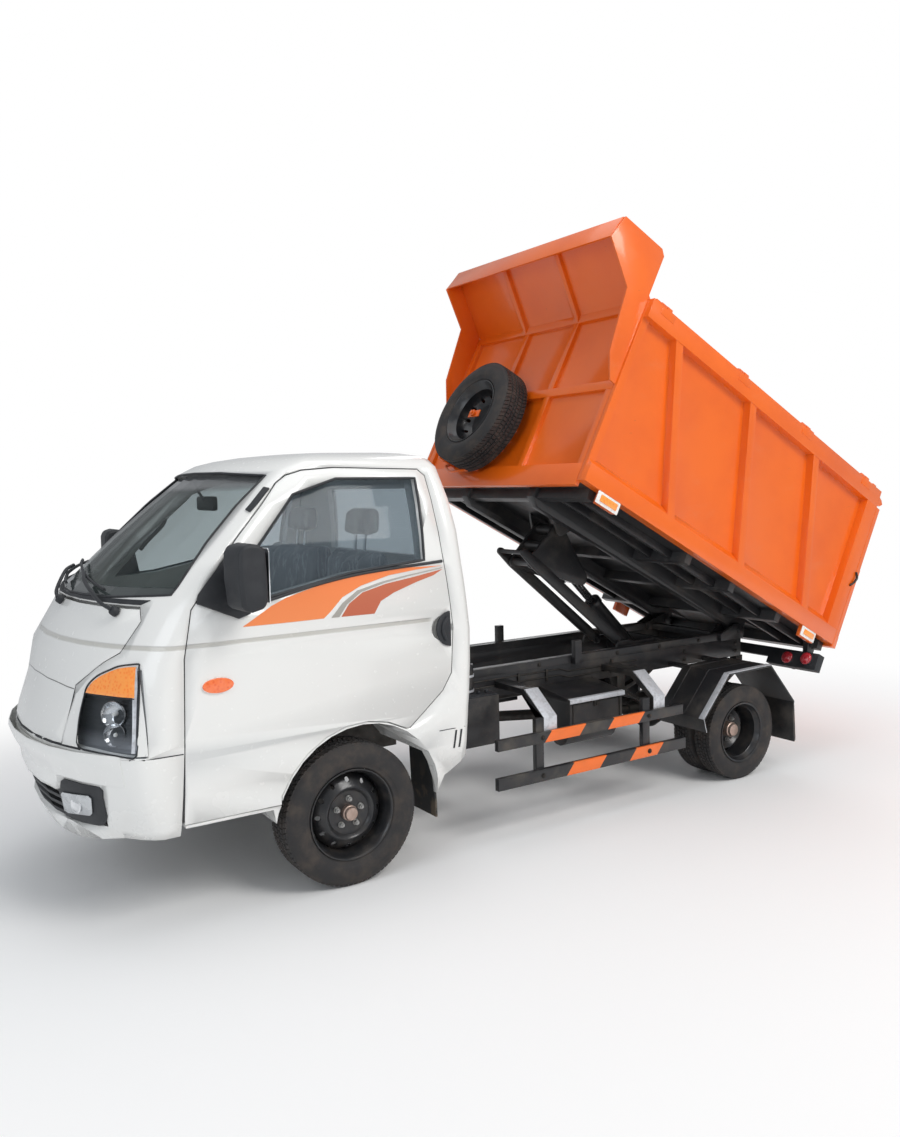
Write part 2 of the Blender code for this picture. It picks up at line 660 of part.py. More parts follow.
def make_cabin(root):
    """Dashboard with the steering column and wheel, and two seats on the riser."""
    front = FIREWALL_X - SEAT_GAP
    shape = [(front, 1.02), (front, 1.325), (0.80, 1.335), (0.62, 1.30), (0.56, 1.22), (0.60, 1.08),
             (0.68, 1.00)]
    dash = carved(plate(shape, "Y", -0.78, 0.78), keep=[cab_loft(DOOR_WALL + 0.008)])
    binnacle = plate([(0.80, 1.30), (0.72, 1.385), (0.60, 1.365), (0.58, 1.24)], "Y", 0.24, 0.56)
    hub = Vector((0.40, 0.40, 1.22))
    tilt = math.radians(55)
    axis = Vector((math.sin(tilt), 0, -math.cos(tilt)))
    column = rod(hub, hub + axis * 0.30, 0.030, 10)
    rim = turned([(0.180 + 0.013 * math.cos(a), 0.013 * math.sin(a))
                  for a in (i * math.pi / 2.5 for i in range(5))], (0, 0, 0), 20, closed=True)
    turn = Vector((0, 1, 0)).rotation_difference(axis).to_matrix().to_4x4()
    rim.data.transform(Matrix.Translation(hub) @ turn)
    side = Vector((0, 1, 0))
    down = axis.cross(side)
    spokes = [rod(hub - side * 0.175, hub + side * 0.175, 0.011, 8), rod(hub, hub + down * 0.175, 0.011, 8)]
    boss = rod(hub - axis * 0.015, hub + axis * 0.03, 0.05, 16)
    node("dashboard", [dash, binnacle, column, rim, boss] + spokes, paint="black_plastic", station=root)
    foot = RISER_Z + SEAT_GAP
    cushion = [(0.30, foot), (0.33, 0.93), (0.28, 0.975), (-0.20, 0.955), (-0.24, foot)]
    back = [(-0.14, 0.90), (-0.235, 1.50), (-0.28, 1.545), (-0.345, 1.535), (-0.36, 1.48), (-0.26, 0.90)]
    head = [(-0.255, 1.57), (-0.275, 1.70), (-0.33, 1.735), (-0.375, 1.70), (-0.365, 1.57)]
    for name, low, high in (("driver_seat", 0.14, 0.66), ("passenger_seat", -0.66, 0.06)):
        middle = (low + high) / 2
        stalks = [rod((-0.315, middle + s, 1.50), (-0.32, middle + s, 1.62), 0.008, 8) for s in (-0.05, 0.05)]
        node(name, [plate(cushion, "Y", low, high), plate(back, "Y", low + 0.02, high - 0.02),
                    plate(head, "Y", middle - 0.13, middle + 0.13)] + stalks,
             paint="seat_cloth", station=root)


def make_wipers(root):
    """Cowl panel with the wipers' pivots, arms and blades lying on the windscreen."""
    cowl = carved(cab_loft(-0.010), cuts=[cab_loft(-3 * SEAT_GAP)],
                  keep=[plate([(-0.66, 1.354), (0.66, 1.354), (0.67, 1.367), (-0.67, 1.367)], "X", 0.7, 1.3)])
    arms = []
    for pivot, tip in (((0.40, 1.369), (-0.10, 1.465)), ((-0.15, 1.369), (-0.62, 1.455))):
        band = [(pivot[0], pivot[1] - 0.008), (tip[0], tip[1] - 0.008), (tip[0], tip[1] + 0.008),
                (pivot[0], pivot[1] + 0.008)]
        arms.append(carved(cab_loft(-0.020), cuts=[cab_loft(-0.006)], keep=[plate(band, "X", 0.6, 1.3)]))
    node("wipers", [cowl] + arms, paint="black_plastic", station=root)


def make_chassis(root):
    """Ladder frame: two rails with round cross tubes and plates."""
    rails = []
    for side in (-1, 1):
        low, high = sorted((side * RAIL_INNER_Y, side * RAIL_OUTER_Y))
        side_view = [
            (RAIL_REAR_X, RAIL_BOTTOM_Z), (0.16, RAIL_BOTTOM_Z), (0.28, RAIL_DROP_Z - 0.085),
            (RAIL_FRONT_X, RAIL_DROP_Z - 0.085), (RAIL_FRONT_X, RAIL_DROP_Z), (0.36, RAIL_DROP_Z),
            (0.20, RAIL_TOP_Z), (RAIL_REAR_X, RAIL_TOP_Z)]
        rails.append(plate(side_view, "Y", low, high))
        low, high = sorted((side * (RAIL_OUTER_Y - 0.005), side * (TUNNEL_HALF - SEAT_GAP)))
        rails.append(box((-0.39, low, 0.680), (-0.33, high, 0.740)))
        rails.append(box((0.12, low, 0.715), (0.18, high, 0.750)))
    middle = (RAIL_BOTTOM_Z + RAIL_TOP_Z) / 2
    reach = RAIL_INNER_Y + 0.02
    tubes = [rod((x, -reach, z), (x, reach, z), 0.033, 12)
             for x, z in ((0.90, RAIL_DROP_Z - 0.045), (-0.80, middle), (-1.20, middle))]
    plates = [box((x - 0.04, -reach, RAIL_BOTTOM_Z + 0.01), (x + 0.04, reach, RAIL_TOP_Z - 0.01))
              for x in (RAIL_REAR_X + 0.05, -WHEELBASE + 0.02)]
    node("chassis_frame", rails + tubes + plates + cylinder_seat(), paint="black_paint", station=root)


def cylinder_seat():
    """Cross beam between the rails that carries the cylinder's foot on a short pin."""
    x, z = CYLINDER_FOOT
    cheek = [(x - 0.075, 0.660), (x + 0.035, 0.660), (x + 0.035, z + 0.02), (x + 0.01, z + 0.035),
             (x - 0.02, z + 0.035), (x - 0.075, z)]
    reach = RAIL_INNER_Y + 0.02
    pieces = [box((x - 0.13, -reach, 0.652), (x - 0.060, reach, 0.738))]
    for side in (-1, 1):
        low, high = sorted((side * 0.052, side * 0.066))
        pieces.append(plate(cheek, "Y", low, high))
    pieces.append(rod((x, -0.06, z), (x, 0.06, z), PIVOT_RADIUS, PIN_SIDES))
    return pieces


def make_subframe(root):
    """Tipping subframe on the rails, with the bed's hinge pin and the hoist's two lower pivots."""
    bottom = RAIL_TOP_Z + SEAT_GAP
    rear = HINGE_X + 0.0694
    rest = HINGE_X + 1.3694
    foot = LINK_FOOT[0]
    pieces = []
    for side in (-1, 1):
        def span(a, b):
            return sorted((side * a, side * b))
        low, high = span(RAIL_INNER_Y, RAIL_OUTER_Y)
        pieces.append(box((rear, low, bottom), (SUBFRAME_FRONT_X, high, SUBFRAME_TOP_Z)))
        ear = [(rear + 0.105, bottom), (rear + 0.105, 0.80), (rear - 0.025, HINGE_Z + 0.045),
               (rear - 0.095, HINGE_Z + 0.045), (rear - 0.120, HINGE_Z), (rear - 0.105, bottom)]
        low, high = span(0.368, 0.386)
        pieces.append(plate(ear, "Y", low, high))
        low, high = span(0.274, 0.292)
        pieces.append(plate(ear, "Y", low, high))
        low, high = span(0.28, 0.38)
        pieces.append(box((rear + 0.005, low, bottom), (rear + 0.105, high, SUBFRAME_TOP_Z)))
        low, high = span(0.265, 0.398)
        pieces.append(rod((HINGE_X, low, HINGE_Z), (HINGE_X, high, HINGE_Z), HINGE_PIN_RADIUS, PIN_SIDES))
        low, high = span(RAIL_OUTER_Y - 0.002, 0.40)
        pieces.append(box((rest, low, 0.757), (rest + 0.050, high, 0.797)))
        low, high = span(RAIL_OUTER_Y + 0.007, 0.40)
        pieces.append(box((rest + 0.001, low, 0.758), (rest + 0.049, high, 0.895)))
        cheek = [(foot - 0.26, bottom + 0.001), (foot + 0.08, bottom + 0.001), (foot + 0.06, 0.80),
                 (foot + 0.03, 0.805), (foot - 0.03, 0.805), (foot - 0.06, 0.79), (foot - 0.26, 0.79)]
        low, high = span(0.150, 0.168)
        pieces.append(plate(cheek, "Y", low, high))
        low, high = span(0.098, 0.160)
        pieces.append(rod((foot, low, LINK_FOOT[1]), (foot, high, LINK_FOOT[1]), PIVOT_RADIUS, PIN_SIDES))
    reach = RAIL_OUTER_Y - 0.02
    pieces.append(box((foot - 0.30, -reach, bottom), (foot - 0.249, reach, SUBFRAME_TOP_Z - 0.005)))
    pieces.append(box((SUBFRAME_FRONT_X - 0.06, -reach, bottom), (SUBFRAME_FRONT_X, reach, SUBFRAME_TOP_Z)))
    pieces.append(box((rear + 0.005, -reach, bottom), (rear + 0.065, reach, SUBFRAME_TOP_Z - 0.005)))
    node("tipping_subframe", pieces, paint="black_paint", station=root)





def bed_point(u, v):
    """A place of the bed, in the truck's own coordinates, with the bed as it stands raised."""
    forward, up = u - HINGE_U, v + SILL_DEPTH
    return (HINGE_X + forward * math.cos(TIP_ANGLE) - up * math.sin(TIP_ANGLE),
            HINGE_Z + forward * math.sin(TIP_ANGLE) + up * math.cos(TIP_ANGLE))


def hull(circles, count=6):
    """The outline of a plate that wraps round some eyes, each a centre and a radius."""
    points = []
    for (x, z), radius in circles:
        points += arc((x, z), radius, 0, 360 - 360 / (2 * count), 2 * count - 1)
    points.sort()

    def half(ordered):
        chain = []
        for point in ordered:
            while len(chain) > 1 and (
                    (chain[-1][0] - chain[-2][0]) * (point[1] - chain[-2][1])
                    - (chain[-1][1] - chain[-2][1]) * (point[0] - chain[-2][0])) <= 1e-9:
                chain.pop()
            chain.append(point)
        return chain
    return half(points)[:-1] + half(points[::-1])[:-1]


def make_hoist(root):
    """Lift arm under the bed, the tension links to the subframe and the cylinder that drives the arm."""
    pivot = bed_point(*ARM_PIVOT_UV)
    arm_shape = hull([(pivot, 0.045), (ARM_TIP, 0.034), (ARM_HEEL, 0.045)])
    pieces, cuts = [], []
    for side in (-1, 1):
        low, high = sorted((side * ARM_INNER_Y, side * ARM_OUTER_Y))
        pieces.append(plate(arm_shape, "Y", low, high))
        low, high = sorted((side * 0.048, side * ARM_OUTER_Y))
        pieces.append(rod((ARM_HEEL[0], low, ARM_HEEL[1]), (ARM_HEEL[0], high, ARM_HEEL[1]), 0.030, 12))
    tip_mid = ((pivot[0] + ARM_TIP[0]) / 2, (pivot[1] + ARM_TIP[1]) / 2)
    pieces.append(rod((ARM_TIP[0], -ARM_OUTER_Y, ARM_TIP[1]), (ARM_TIP[0], ARM_OUTER_Y, ARM_TIP[1]), 0.024, 12))
    pieces.append(rod((tip_mid[0], -0.09, tip_mid[1]), (tip_mid[0], 0.09, tip_mid[1]), 0.030, 12))
    pieces.append(rod((pivot[0], -ARM_OUTER_Y, pivot[1]), (pivot[0], ARM_OUTER_Y, pivot[1]), 0.036, 12))
    cuts.append(rod((pivot[0], -0.2, pivot[1]), (pivot[0], 0.2, pivot[1]), PIVOT_RADIUS + PIN_GAP, PIN_SIDES))
    node("lift_arm", pieces, cuts, station=root, origin=(pivot[0], 0, pivot[1]))

    reach = (Vector(ARM_TIP) - Vector(LINK_FOOT)).normalized() * LINK_TIE_REACH
    tie = (ARM_TIP[0] + reach.x, ARM_TIP[1] + reach.y)
    link_shape = hull([(LINK_FOOT, 0.034), (ARM_TIP, 0.034), (tie, 0.022)])
    pieces, cuts = [rod((tie[0], -0.115, tie[1]), (tie[0], 0.115, tie[1]), 0.014, 10)], []
    for side in (-1, 1):
        low, high = sorted((side * LINK_INNER_Y, side * LINK_OUTER_Y))
        pieces.append(plate(link_shape, "Y", low, high))
        low, high = sorted((side * (LINK_INNER_Y - 0.003), side * (LINK_OUTER_Y + 0.003)))
        pieces.append(rod((LINK_FOOT[0], low, LINK_FOOT[1]), (LINK_FOOT[0], high, LINK_FOOT[1]), 0.030, 12))
    cuts.append(rod((LINK_FOOT[0], -0.2, LINK_FOOT[1]), (LINK_FOOT[0], 0.2, LINK_FOOT[1]),
                    PIVOT_RADIUS + PIN_GAP, PIN_SIDES))
    node("tension_link", pieces, cuts, station=root, origin=(LINK_FOOT[0], 0, LINK_FOOT[1]))

    foot, heel = Vector((CYLINDER_FOOT[0], 0, CYLINDER_FOOT[1])), Vector((ARM_HEEL[0], 0, ARM_HEEL[1]))
    along = (heel - foot).normalized()
    barrel = [rod(foot, foot + along * 0.47, 0.048, 16),
              rod(foot - Vector((0, 0.045, 0)), foot + Vector((0, 0.045, 0)), 0.040, 16),
              rod(foot + along * 0.44, foot + along * 0.475, 0.056, 16)]
    bore = [rod(foot + along * 0.06, foot + along * 0.60, 0.026 + PIN_GAP, 16),
            rod(foot - Vector((0, 0.2, 0)), foot + Vector((0, 0.2, 0)), PIVOT_RADIUS + PIN_GAP, PIN_SIDES)]
    node("cylinder_barrel", barrel, bore, station=root, origin=foot)
    eye = [rod(foot + along * 0.120, heel - along * 0.02, 0.026, 16),
           rod(heel - Vector((0, 0.036, 0)), heel + Vector((0, 0.036, 0)), 0.036, 12)]
    bolt = [rod(heel - Vector((0, 0.2, 0)), heel + Vector((0, 0.2, 0)), PIVOT_RADIUS, PIN_SIDES)]
    node("cylinder_rod", eye, bolt, paint="bare_steel", station=root, origin=foot)


# Bed

def bed_box(low, high):
    """A block given in the bed's own square as (u, y, v) corners, placed about the tipping hinge."""
    return box((low[0] - HINGE_U, low[1], low[2] + SILL_DEPTH),
               (high[0] - HINGE_U, high[1], high[2] + SILL_DEPTH))


def bed_plate(outline, across, start, end):
    if across == "X":
        return plate(moved(outline, 0, SILL_DEPTH), "X", start - HINGE_U, end - HINGE_U)
    return plate(moved(outline, -HINGE_U, SILL_DEPTH), "Y", start, end)


def bed_rod(start, end, radius, sides=14):
    lift = Vector((-HINGE_U, 0, SILL_DEPTH))
    return rod(Vector(start) + lift, Vector(end) + lift, radius, sides)





def make_bed_sides(bed):
    """Side of the bed: sheet, rails, corner posts, leaning posts and the ear that carries the canopy."""
    inner, outer = SIDE_INNER_Y, BED_HALF_WIDTH
    end = BED_LENGTH
    pieces = [bed_box((0.002, inner, 0.0), (end - 0.002, inner + SHEET, BED_HEIGHT - 0.003))]
    pieces.append(bed_box((0.001, inner + 0.001, -0.005), (end - 0.001, outer, 0.095)))
    ledge = [(inner + 0.002, 0.088), (outer - 0.002, 0.088), (outer - 0.002, 0.096),
             (inner + SHEET + 0.001, 0.140), (inner + 0.002, 0.140)]
    pieces.append(bed_plate(ledge, "X", 0.004, end - 0.004))
    pieces.append(bed_box((0.001, inner + 0.001, BED_HEIGHT - 0.11), (end - 0.001, outer, BED_HEIGHT)))
    pieces.append(bed_box((0, inner + 0.003, 0.004), (0.11, outer - 0.001, BED_HEIGHT - 0.005)))
    pieces.append(bed_box((end - 0.05, inner + 0.003, 0.004), (end, inner + 0.03, BED_HEIGHT - 0.005)))
    for (foot_share, foot_v), (head_share, head_drop) in zip(POST_FEET, POST_HEADS):
        low_u, high_u, high_v = end * foot_share, end * head_share, BED_HEIGHT - head_drop
        lean = (high_u - low_u) / (high_v - foot_v)
        foot = (low_u - lean * 0.05, foot_v - 0.05)
        head = (high_u + lean * 0.03, high_v + 0.03)
        half = 0.030
        band = [(foot[0] - half, foot[1]), (foot[0] + half, foot[1]), (head[0] + half, head[1]),
                (head[0] - half, head[1])]
        pieces.append(bed_plate(band, "Y", inner + 0.004, outer - 0.003))
    pieces.append(bed_plate(EAR_OUTLINE, "Y", inner + 0.001, inner + SHEET))
    for u in LID_HINGES:
        pieces.append(bed_box((u - 0.02, LID_AXIS[0] - 0.012, BED_HEIGHT - 0.004),
                              (u + 0.02, LID_AXIS[0] + 0.012, LID_AXIS[1])))
        pieces.append(bed_rod((u - 0.02, *LID_AXIS), (u + 0.02, *LID_AXIS), 0.012, 8))
        pieces.append(bed_rod((u, *LID_AXIS), (u + 0.055, *LID_AXIS), LID_PIN_RADIUS, 8))
    lug = [(0.02, GATE_AXIS[1] - 0.03), (GATE_AXIS[0], GATE_AXIS[1] - 0.022),
           (GATE_AXIS[0] - 0.022, GATE_AXIS[1]), (GATE_AXIS[0], GATE_AXIS[1] + 0.022),
           (0.02, GATE_AXIS[1] + 0.04)]
    pieces.append(bed_plate(lug, "Y", outer - 0.022, outer - 0.004))
    u, v = GATE_AXIS
    pieces.append(bed_rod((u, outer - 0.098, v), (u, outer - 0.010, v), 0.010, PIN_SIDES))
    for u in (end - 0.20, 0.26):
        pieces.append(bed_box((u - 0.07, outer - 0.03, -0.075), (u + 0.07, outer - 0.004, 0.002)))
    left = node("bed_side_left", pieces, paint="orange_paint", station=bed)
    mirrored(left, "bed_side_right")


def make_bed_floor(bed):
    """Floor sheet on cross members and two sills, with the hinge eyes and the arm's bracket."""
    inner = SIDE_INNER_Y - SEAT_GAP
    pieces = [bed_box((0, -inner, 0), (HEAD_U - SEAT_GAP, inner, FLOOR_THICKNESS))]
    for u in CROSS_MEMBERS:
        pieces.append(bed_box((u - 0.025, -inner, -0.06), (u + 0.025, inner, 0.002)))
    cuts = []
    for side in (-1, 1):
        low, high = sorted((side * RAIL_INNER_Y, side * RAIL_OUTER_Y))
        sill = [(HEAD_U - 0.04, 0.002), (HEAD_U - 0.04, -0.06), (HEAD_U - 0.10, -SILL_DEPTH),
                (0.40, -SILL_DEPTH),
                *arc((HINGE_U, -SILL_DEPTH), 0.042, 0, -180, 6)[1:], (0.27, -0.02), (0.05, 0.002)]
        pieces.append(bed_plate(sill, "Y", low, high))
        low, high = sorted((side * 0.25, side * 0.42))
        cuts.append(bed_rod((HINGE_U, low, -SILL_DEPTH), (HINGE_U, high, -SILL_DEPTH),
                            HINGE_PIN_RADIUS + PIN_GAP, PIN_SIDES))
        low, high = sorted((side * 0.106, side * 0.124))
        u, v = ARM_PIVOT_UV
        hanger = [(u - 0.10, 0.002), (u - 0.035, v - 0.01), *arc((u, v), 0.035, 200, 340, 5),
                  (u + 0.035, v - 0.01), (u + 0.10, 0.002)]
        pieces.append(bed_plate(hanger, "Y", low, high))
        low, high = sorted((side * (SIDE_INNER_Y - 0.085), side * (SIDE_INNER_Y - 0.050)))
        pieces.append(bed_plate([(0.0, 0.002), (0.0, -0.10), (0.06, -0.10), (0.10, 0.002)], "Y", low, high))
    u, v = ARM_PIVOT_UV
    pieces.append(bed_rod((u, -0.12, v), (u, 0.12, v), PIVOT_RADIUS, PIN_SIDES))
    node("bed_floor", pieces, cuts, paint="black_paint", station=bed)


def make_headboard(bed):
    """Front wall of the bed with its ribs, the sloping canopy and the spare wheel's carrier."""
    inner = SIDE_INNER_Y - SEAT_GAP
    face, front, top = HEAD_FACE_U, BED_LENGTH, BED_HEIGHT + 0.02
    low_rail, high_rail = MIDDLE_RAIL_V - 0.026, MIDDLE_RAIL_V + 0.026
    pieces = [bed_box((HEAD_U, -inner, 0.0), (face, inner, top))]
    for low, high in ((-0.03, 0.095), (low_rail, high_rail), (BED_HEIGHT - 0.054, top)):
        pieces.append(bed_box((face - 0.002, -inner, low), (front, inner, high)))
    for y in (0.235, -0.235):
        for low, high in ((0.09, low_rail + 0.002), (high_rail - 0.010, BED_HEIGHT - 0.05)):
            pieces.append(bed_box((face - 0.002, y - 0.024, low), (front - 0.002, y + 0.024, high)))
    for y in (SIDE_INNER_Y - 0.025, 0.025 - SIDE_INNER_Y):
        pieces.append(bed_box((face - 0.002, y - 0.024, 0.09), (front - 0.002, y + 0.024, BED_HEIGHT - 0.05)))
    canopy = [(HEAD_U, BED_HEIGHT + 0.01), (front, BED_HEIGHT), (front + 0.33, BED_HEIGHT + 0.265),
              (front + 0.36, BED_HEIGHT + 0.155), (front + 0.37, BED_HEIGHT + 0.155),
              (front + 0.338, BED_HEIGHT + 0.295), (front + 0.325, BED_HEIGHT + 0.30)]
    pieces.append(bed_plate(canopy, "Y", -inner, inner))
    for y in (-0.27, 0.23):
        rib = [(front, BED_HEIGHT - 0.05), (front + 0.02, BED_HEIGHT - 0.02),
               (front + 0.33, BED_HEIGHT + 0.235), (front + 0.33, BED_HEIGHT + 0.27), (front, BED_HEIGHT + 0.005)]
        pieces.append(bed_plate(rib, "Y", y - 0.02, y + 0.02))
    y, v = SPARE
    pieces.append(bed_rod((face - 0.002, y, v), (SPARE_U - FRONT_OFFSET - 0.006 - SEAT_GAP, y, v), 0.055, 16))
    node("bed_headboard", pieces, paint="orange_paint", station=bed)





def tyre_profile(radius, rim, width):
    """Cross-section of a tyre, from one bead round the tread to the other."""
    half = width / 2
    side = rim + (radius - rim) * 0.5
    left = [(rim, -half * 0.74), (rim + 0.012, -half * 0.88), (side, -half), (radius - 0.022, -half * 0.90),
            (radius, -half * 0.55)]
    right = [(r, -a) for r, a in reversed(left)]
    return left + right


def front_tyre_profile():
    return tyre_profile(FRONT_TYRE_RADIUS, FRONT_RIM_RADIUS + BEAD_STEP, FRONT_TYRE_WIDTH)


def rim_shape(centre, radius, width, disc, dish, outward, holes):
    """Pressed steel rim: a stepped barrel and a dished disc with round vents, in one turned profile.

    The disc's bolting face lies at disc along the axis, and its ring of vents stands out by dish.
    """
    half = width / 2 * 0.88
    lip, seat, well = radius + 0.004, radius - 0.008, radius - 0.032
    thick = 0.006
    join = max(disc, -half * 0.3)
    front = [(0.0, disc + thick), (radius * 0.40, disc + thick), (radius * 0.50, disc + dish + thick),
             (radius * 0.68, disc + dish + thick), (well - thick, join + 0.002), (seat - thick, half * 0.72)]
    if join < half * 0.25:
        front.insert(-1, (well - thick, half * 0.36))
    back = [(well - thick, join - 0.012), (radius * 0.68, disc + dish), (radius * 0.48, disc + dish),
            (radius * 0.38, disc), (0.0, disc)]
    outside = [(lip, half), (seat, half * 0.72), (well, half * 0.3), (well, -half * 0.5), (lip, -half)]
    inside = [(seat - thick, -half * 0.78), (well - thick, -half * 0.56)]
    profile = [(r, outward * a) for r, a in front + outside + inside + back]
    if outward > 0:
        profile.reverse()
    made = turned(profile, centre, WHEEL_STEPS)
    cuts = []
    for i in range(holes):
        angle = 2 * math.pi * (i + 0.5) / holes
        spot = Vector(centre) + Vector((math.cos(angle), 0, math.sin(angle))) * radius * 0.60
        cuts.append(rod(spot - Vector((0, 0.12, 0)), spot + Vector((0, 0.12, 0)), 0.014, 6))
    return carved(made, cuts=cuts) if cuts else made


def hub_cap(centre, start, end, radius, outward):
    a = Vector(centre) + Vector((0, outward * start, 0))
    b = Vector(centre) + Vector((0, outward * end, 0))
    return rod(a, b, radius, 16, radius * 0.8)


def make_front_wheels(root):
    """Front wheels on stub axles whose knuckles turn on kingpins between the axle's lugs."""
    centre = (0.0, FRONT_WHEEL_Y, FRONT_TYRE_RADIUS)
    tyre = turned(front_tyre_profile(), centre, WHEEL_STEPS, closed=True)
    left = node("front_tyre_left", [tyre], paint="tyre_rubber", station=root, origin=centre)
    mirrored(left, "front_tyre_right")
    rim = rim_shape(centre, FRONT_RIM_RADIUS, FRONT_TYRE_WIDTH * RIM_SHARE, FRONT_OFFSET, 0.026, 1, 6)
    left = node("front_rim_left", [rim, hub_cap(centre, FRONT_OFFSET + 0.001, FRONT_OFFSET + 0.045, 0.034, 1)],
                paint="black_steel", station=root, origin=centre)
    mirrored(left, "front_rim_right")
    y, z = KINGPIN_Y, FRONT_TYRE_RADIUS
    flange = FRONT_WHEEL_Y + FRONT_OFFSET - 0.0008
    pieces = [rod((0, y, z - 0.058), (0, y, z + 0.058), 0.036, 12),
              rod((0, y, z - 0.105), (0, y, z + 0.105), KINGPIN_RADIUS, PIN_SIDES),
              rod((0, y, z), (0, flange, z), 0.030, 16), rod((0, flange - 0.010, z), (0, flange, z), 0.062, 14),
              box((-0.14, y - 0.014, z - 0.012), (0.0, y + 0.010, z + 0.012))]
    left = node("knuckle_left", pieces, paint="black_steel", station=root, origin=(0, y, z))
    mirrored(left, "knuckle_right")


def make_front_axle(root):
    """Axle beam under the rails: lugs hold the kingpins, blocks reach up to the rails."""
    z = FRONT_TYRE_RADIUS
    pieces, cuts = [], []
    for side in (-1, 1):
        def span(a, b):
            return sorted((side * a, side * b))
        low, high = span(0.0, KINGPIN_Y - 0.045)
        pieces.append(box((-0.035, low, z - 0.055), (0.035, high, z + 0.025)))
        low, high = span(KINGPIN_Y - 0.085, KINGPIN_Y - 0.045)
        pieces.append(box((-0.035, low, z - 0.100), (0.035, high, z + 0.100)))
        for bottom in (z - 0.100, z + 0.064):
            low, high = span(KINGPIN_Y - 0.06, KINGPIN_Y)
            pieces.append(box((-0.030, low, bottom), (0.030, high, bottom + 0.036)))
            pieces.append(rod((0, side * KINGPIN_Y, bottom), (0, side * KINGPIN_Y, bottom + 0.036), 0.030, 12))
        cuts.append(rod((0, side * KINGPIN_Y, z - 0.15), (0, side * KINGPIN_Y, z + 0.15),
                        KINGPIN_RADIUS + PIN_GAP, PIN_SIDES))
        low, high = span(RAIL_INNER_Y + 0.005, RAIL_OUTER_Y - 0.005)
        pieces.append(box((-0.05, low, z), (0.05, high, RAIL_BOTTOM_Z - SEAT_GAP)))
    node("front_axle", pieces, cuts, station=root)


def make_rear_wheels(root):
    """Twin rear wheels on each side, rims back to back on one hub."""
    for place, sign in (("outer", 1), ("inner", -1)):
        centre = (-WHEELBASE, REAR_TWIN_Y + sign * REAR_TWIN_SPACING / 2, REAR_TYRE_RADIUS)
        tyre = turned(tyre_profile(REAR_TYRE_RADIUS, REAR_RIM_RADIUS + BEAD_STEP, REAR_TYRE_WIDTH), centre,
                      WHEEL_STEPS, closed=True)
        left = node("rear_tyre_%s_left" % place, [tyre], paint="tyre_rubber", station=root, origin=centre)
        mirrored(left, "rear_tyre_%s_right" % place)
    pieces = []
    hub = (-WHEELBASE, REAR_TWIN_Y, REAR_TYRE_RADIUS)
    for sign, holes in ((1, 6), (-1, 0)):
        centre = (-WHEELBASE, REAR_TWIN_Y + sign * REAR_TWIN_SPACING / 2, REAR_TYRE_RADIUS)
        depth = 0.006 - REAR_TWIN_SPACING / 2
        width = REAR_TYRE_WIDTH * RIM_SHARE
        pieces.append(rim_shape(centre, REAR_RIM_RADIUS, width, depth, 0.026, sign, holes))
    pieces.append(rod((hub[0], hub[1] - 0.010, hub[2]), (hub[0], hub[1] + 0.010, hub[2]), 0.062, 14))
    pieces.append(hub_cap(hub, 0.009, 0.085, 0.045, 1))
    left = node("rear_rims_left", pieces, paint="black_steel", station=root, origin=hub)
    mirrored(left, "rear_rims_right")


def make_rear_axle(root):
    """Driven axle with its differential, leaf springs up to the rails and the propeller shaft."""
    z = REAR_TYRE_RADIUS
    x = -WHEELBASE
    end = REAR_TWIN_Y - 0.012 - 0.0008
    pieces = [rod((x, -end, z), (x, end, z), 0.040, 16), ball((x, 0, z), 0.125, 14)]
    pieces.append(rod((x + 0.09, 0, z + 0.01), (-0.62, 0, 0.500), 0.032, 12))
    pieces.append(rod((x + 0.06, 0, z), (x + 0.19, 0, z + 0.02), 0.065, 14, 0.045))
    for side in (-1, 1):
        low, high = sorted((side * (RAIL_INNER_Y + 0.003), side * (RAIL_OUTER_Y - 0.003)))
        bow = [(x - 0.50, 0.560), (x - 0.30, 0.430), (x, 0.345), (x + 0.32, 0.430), (x + 0.56, 0.560)]
        under = [(a, b - (0.035 if abs(a - x) < 0.05 else 0.018)) for a, b in reversed(bow)]
        pieces.append(plate(bow + under, "Y", low, high))
        for end_x in (x - 0.50, x + 0.56):
            pieces.append(box((end_x - 0.03, low, 0.540), (end_x + 0.03, high, RAIL_BOTTOM_Z - SEAT_GAP)))
        pieces.append(box((x - 0.06, low, z - 0.05), (x + 0.06, high, 0.345)))
    node("rear_axle", pieces, station=root)


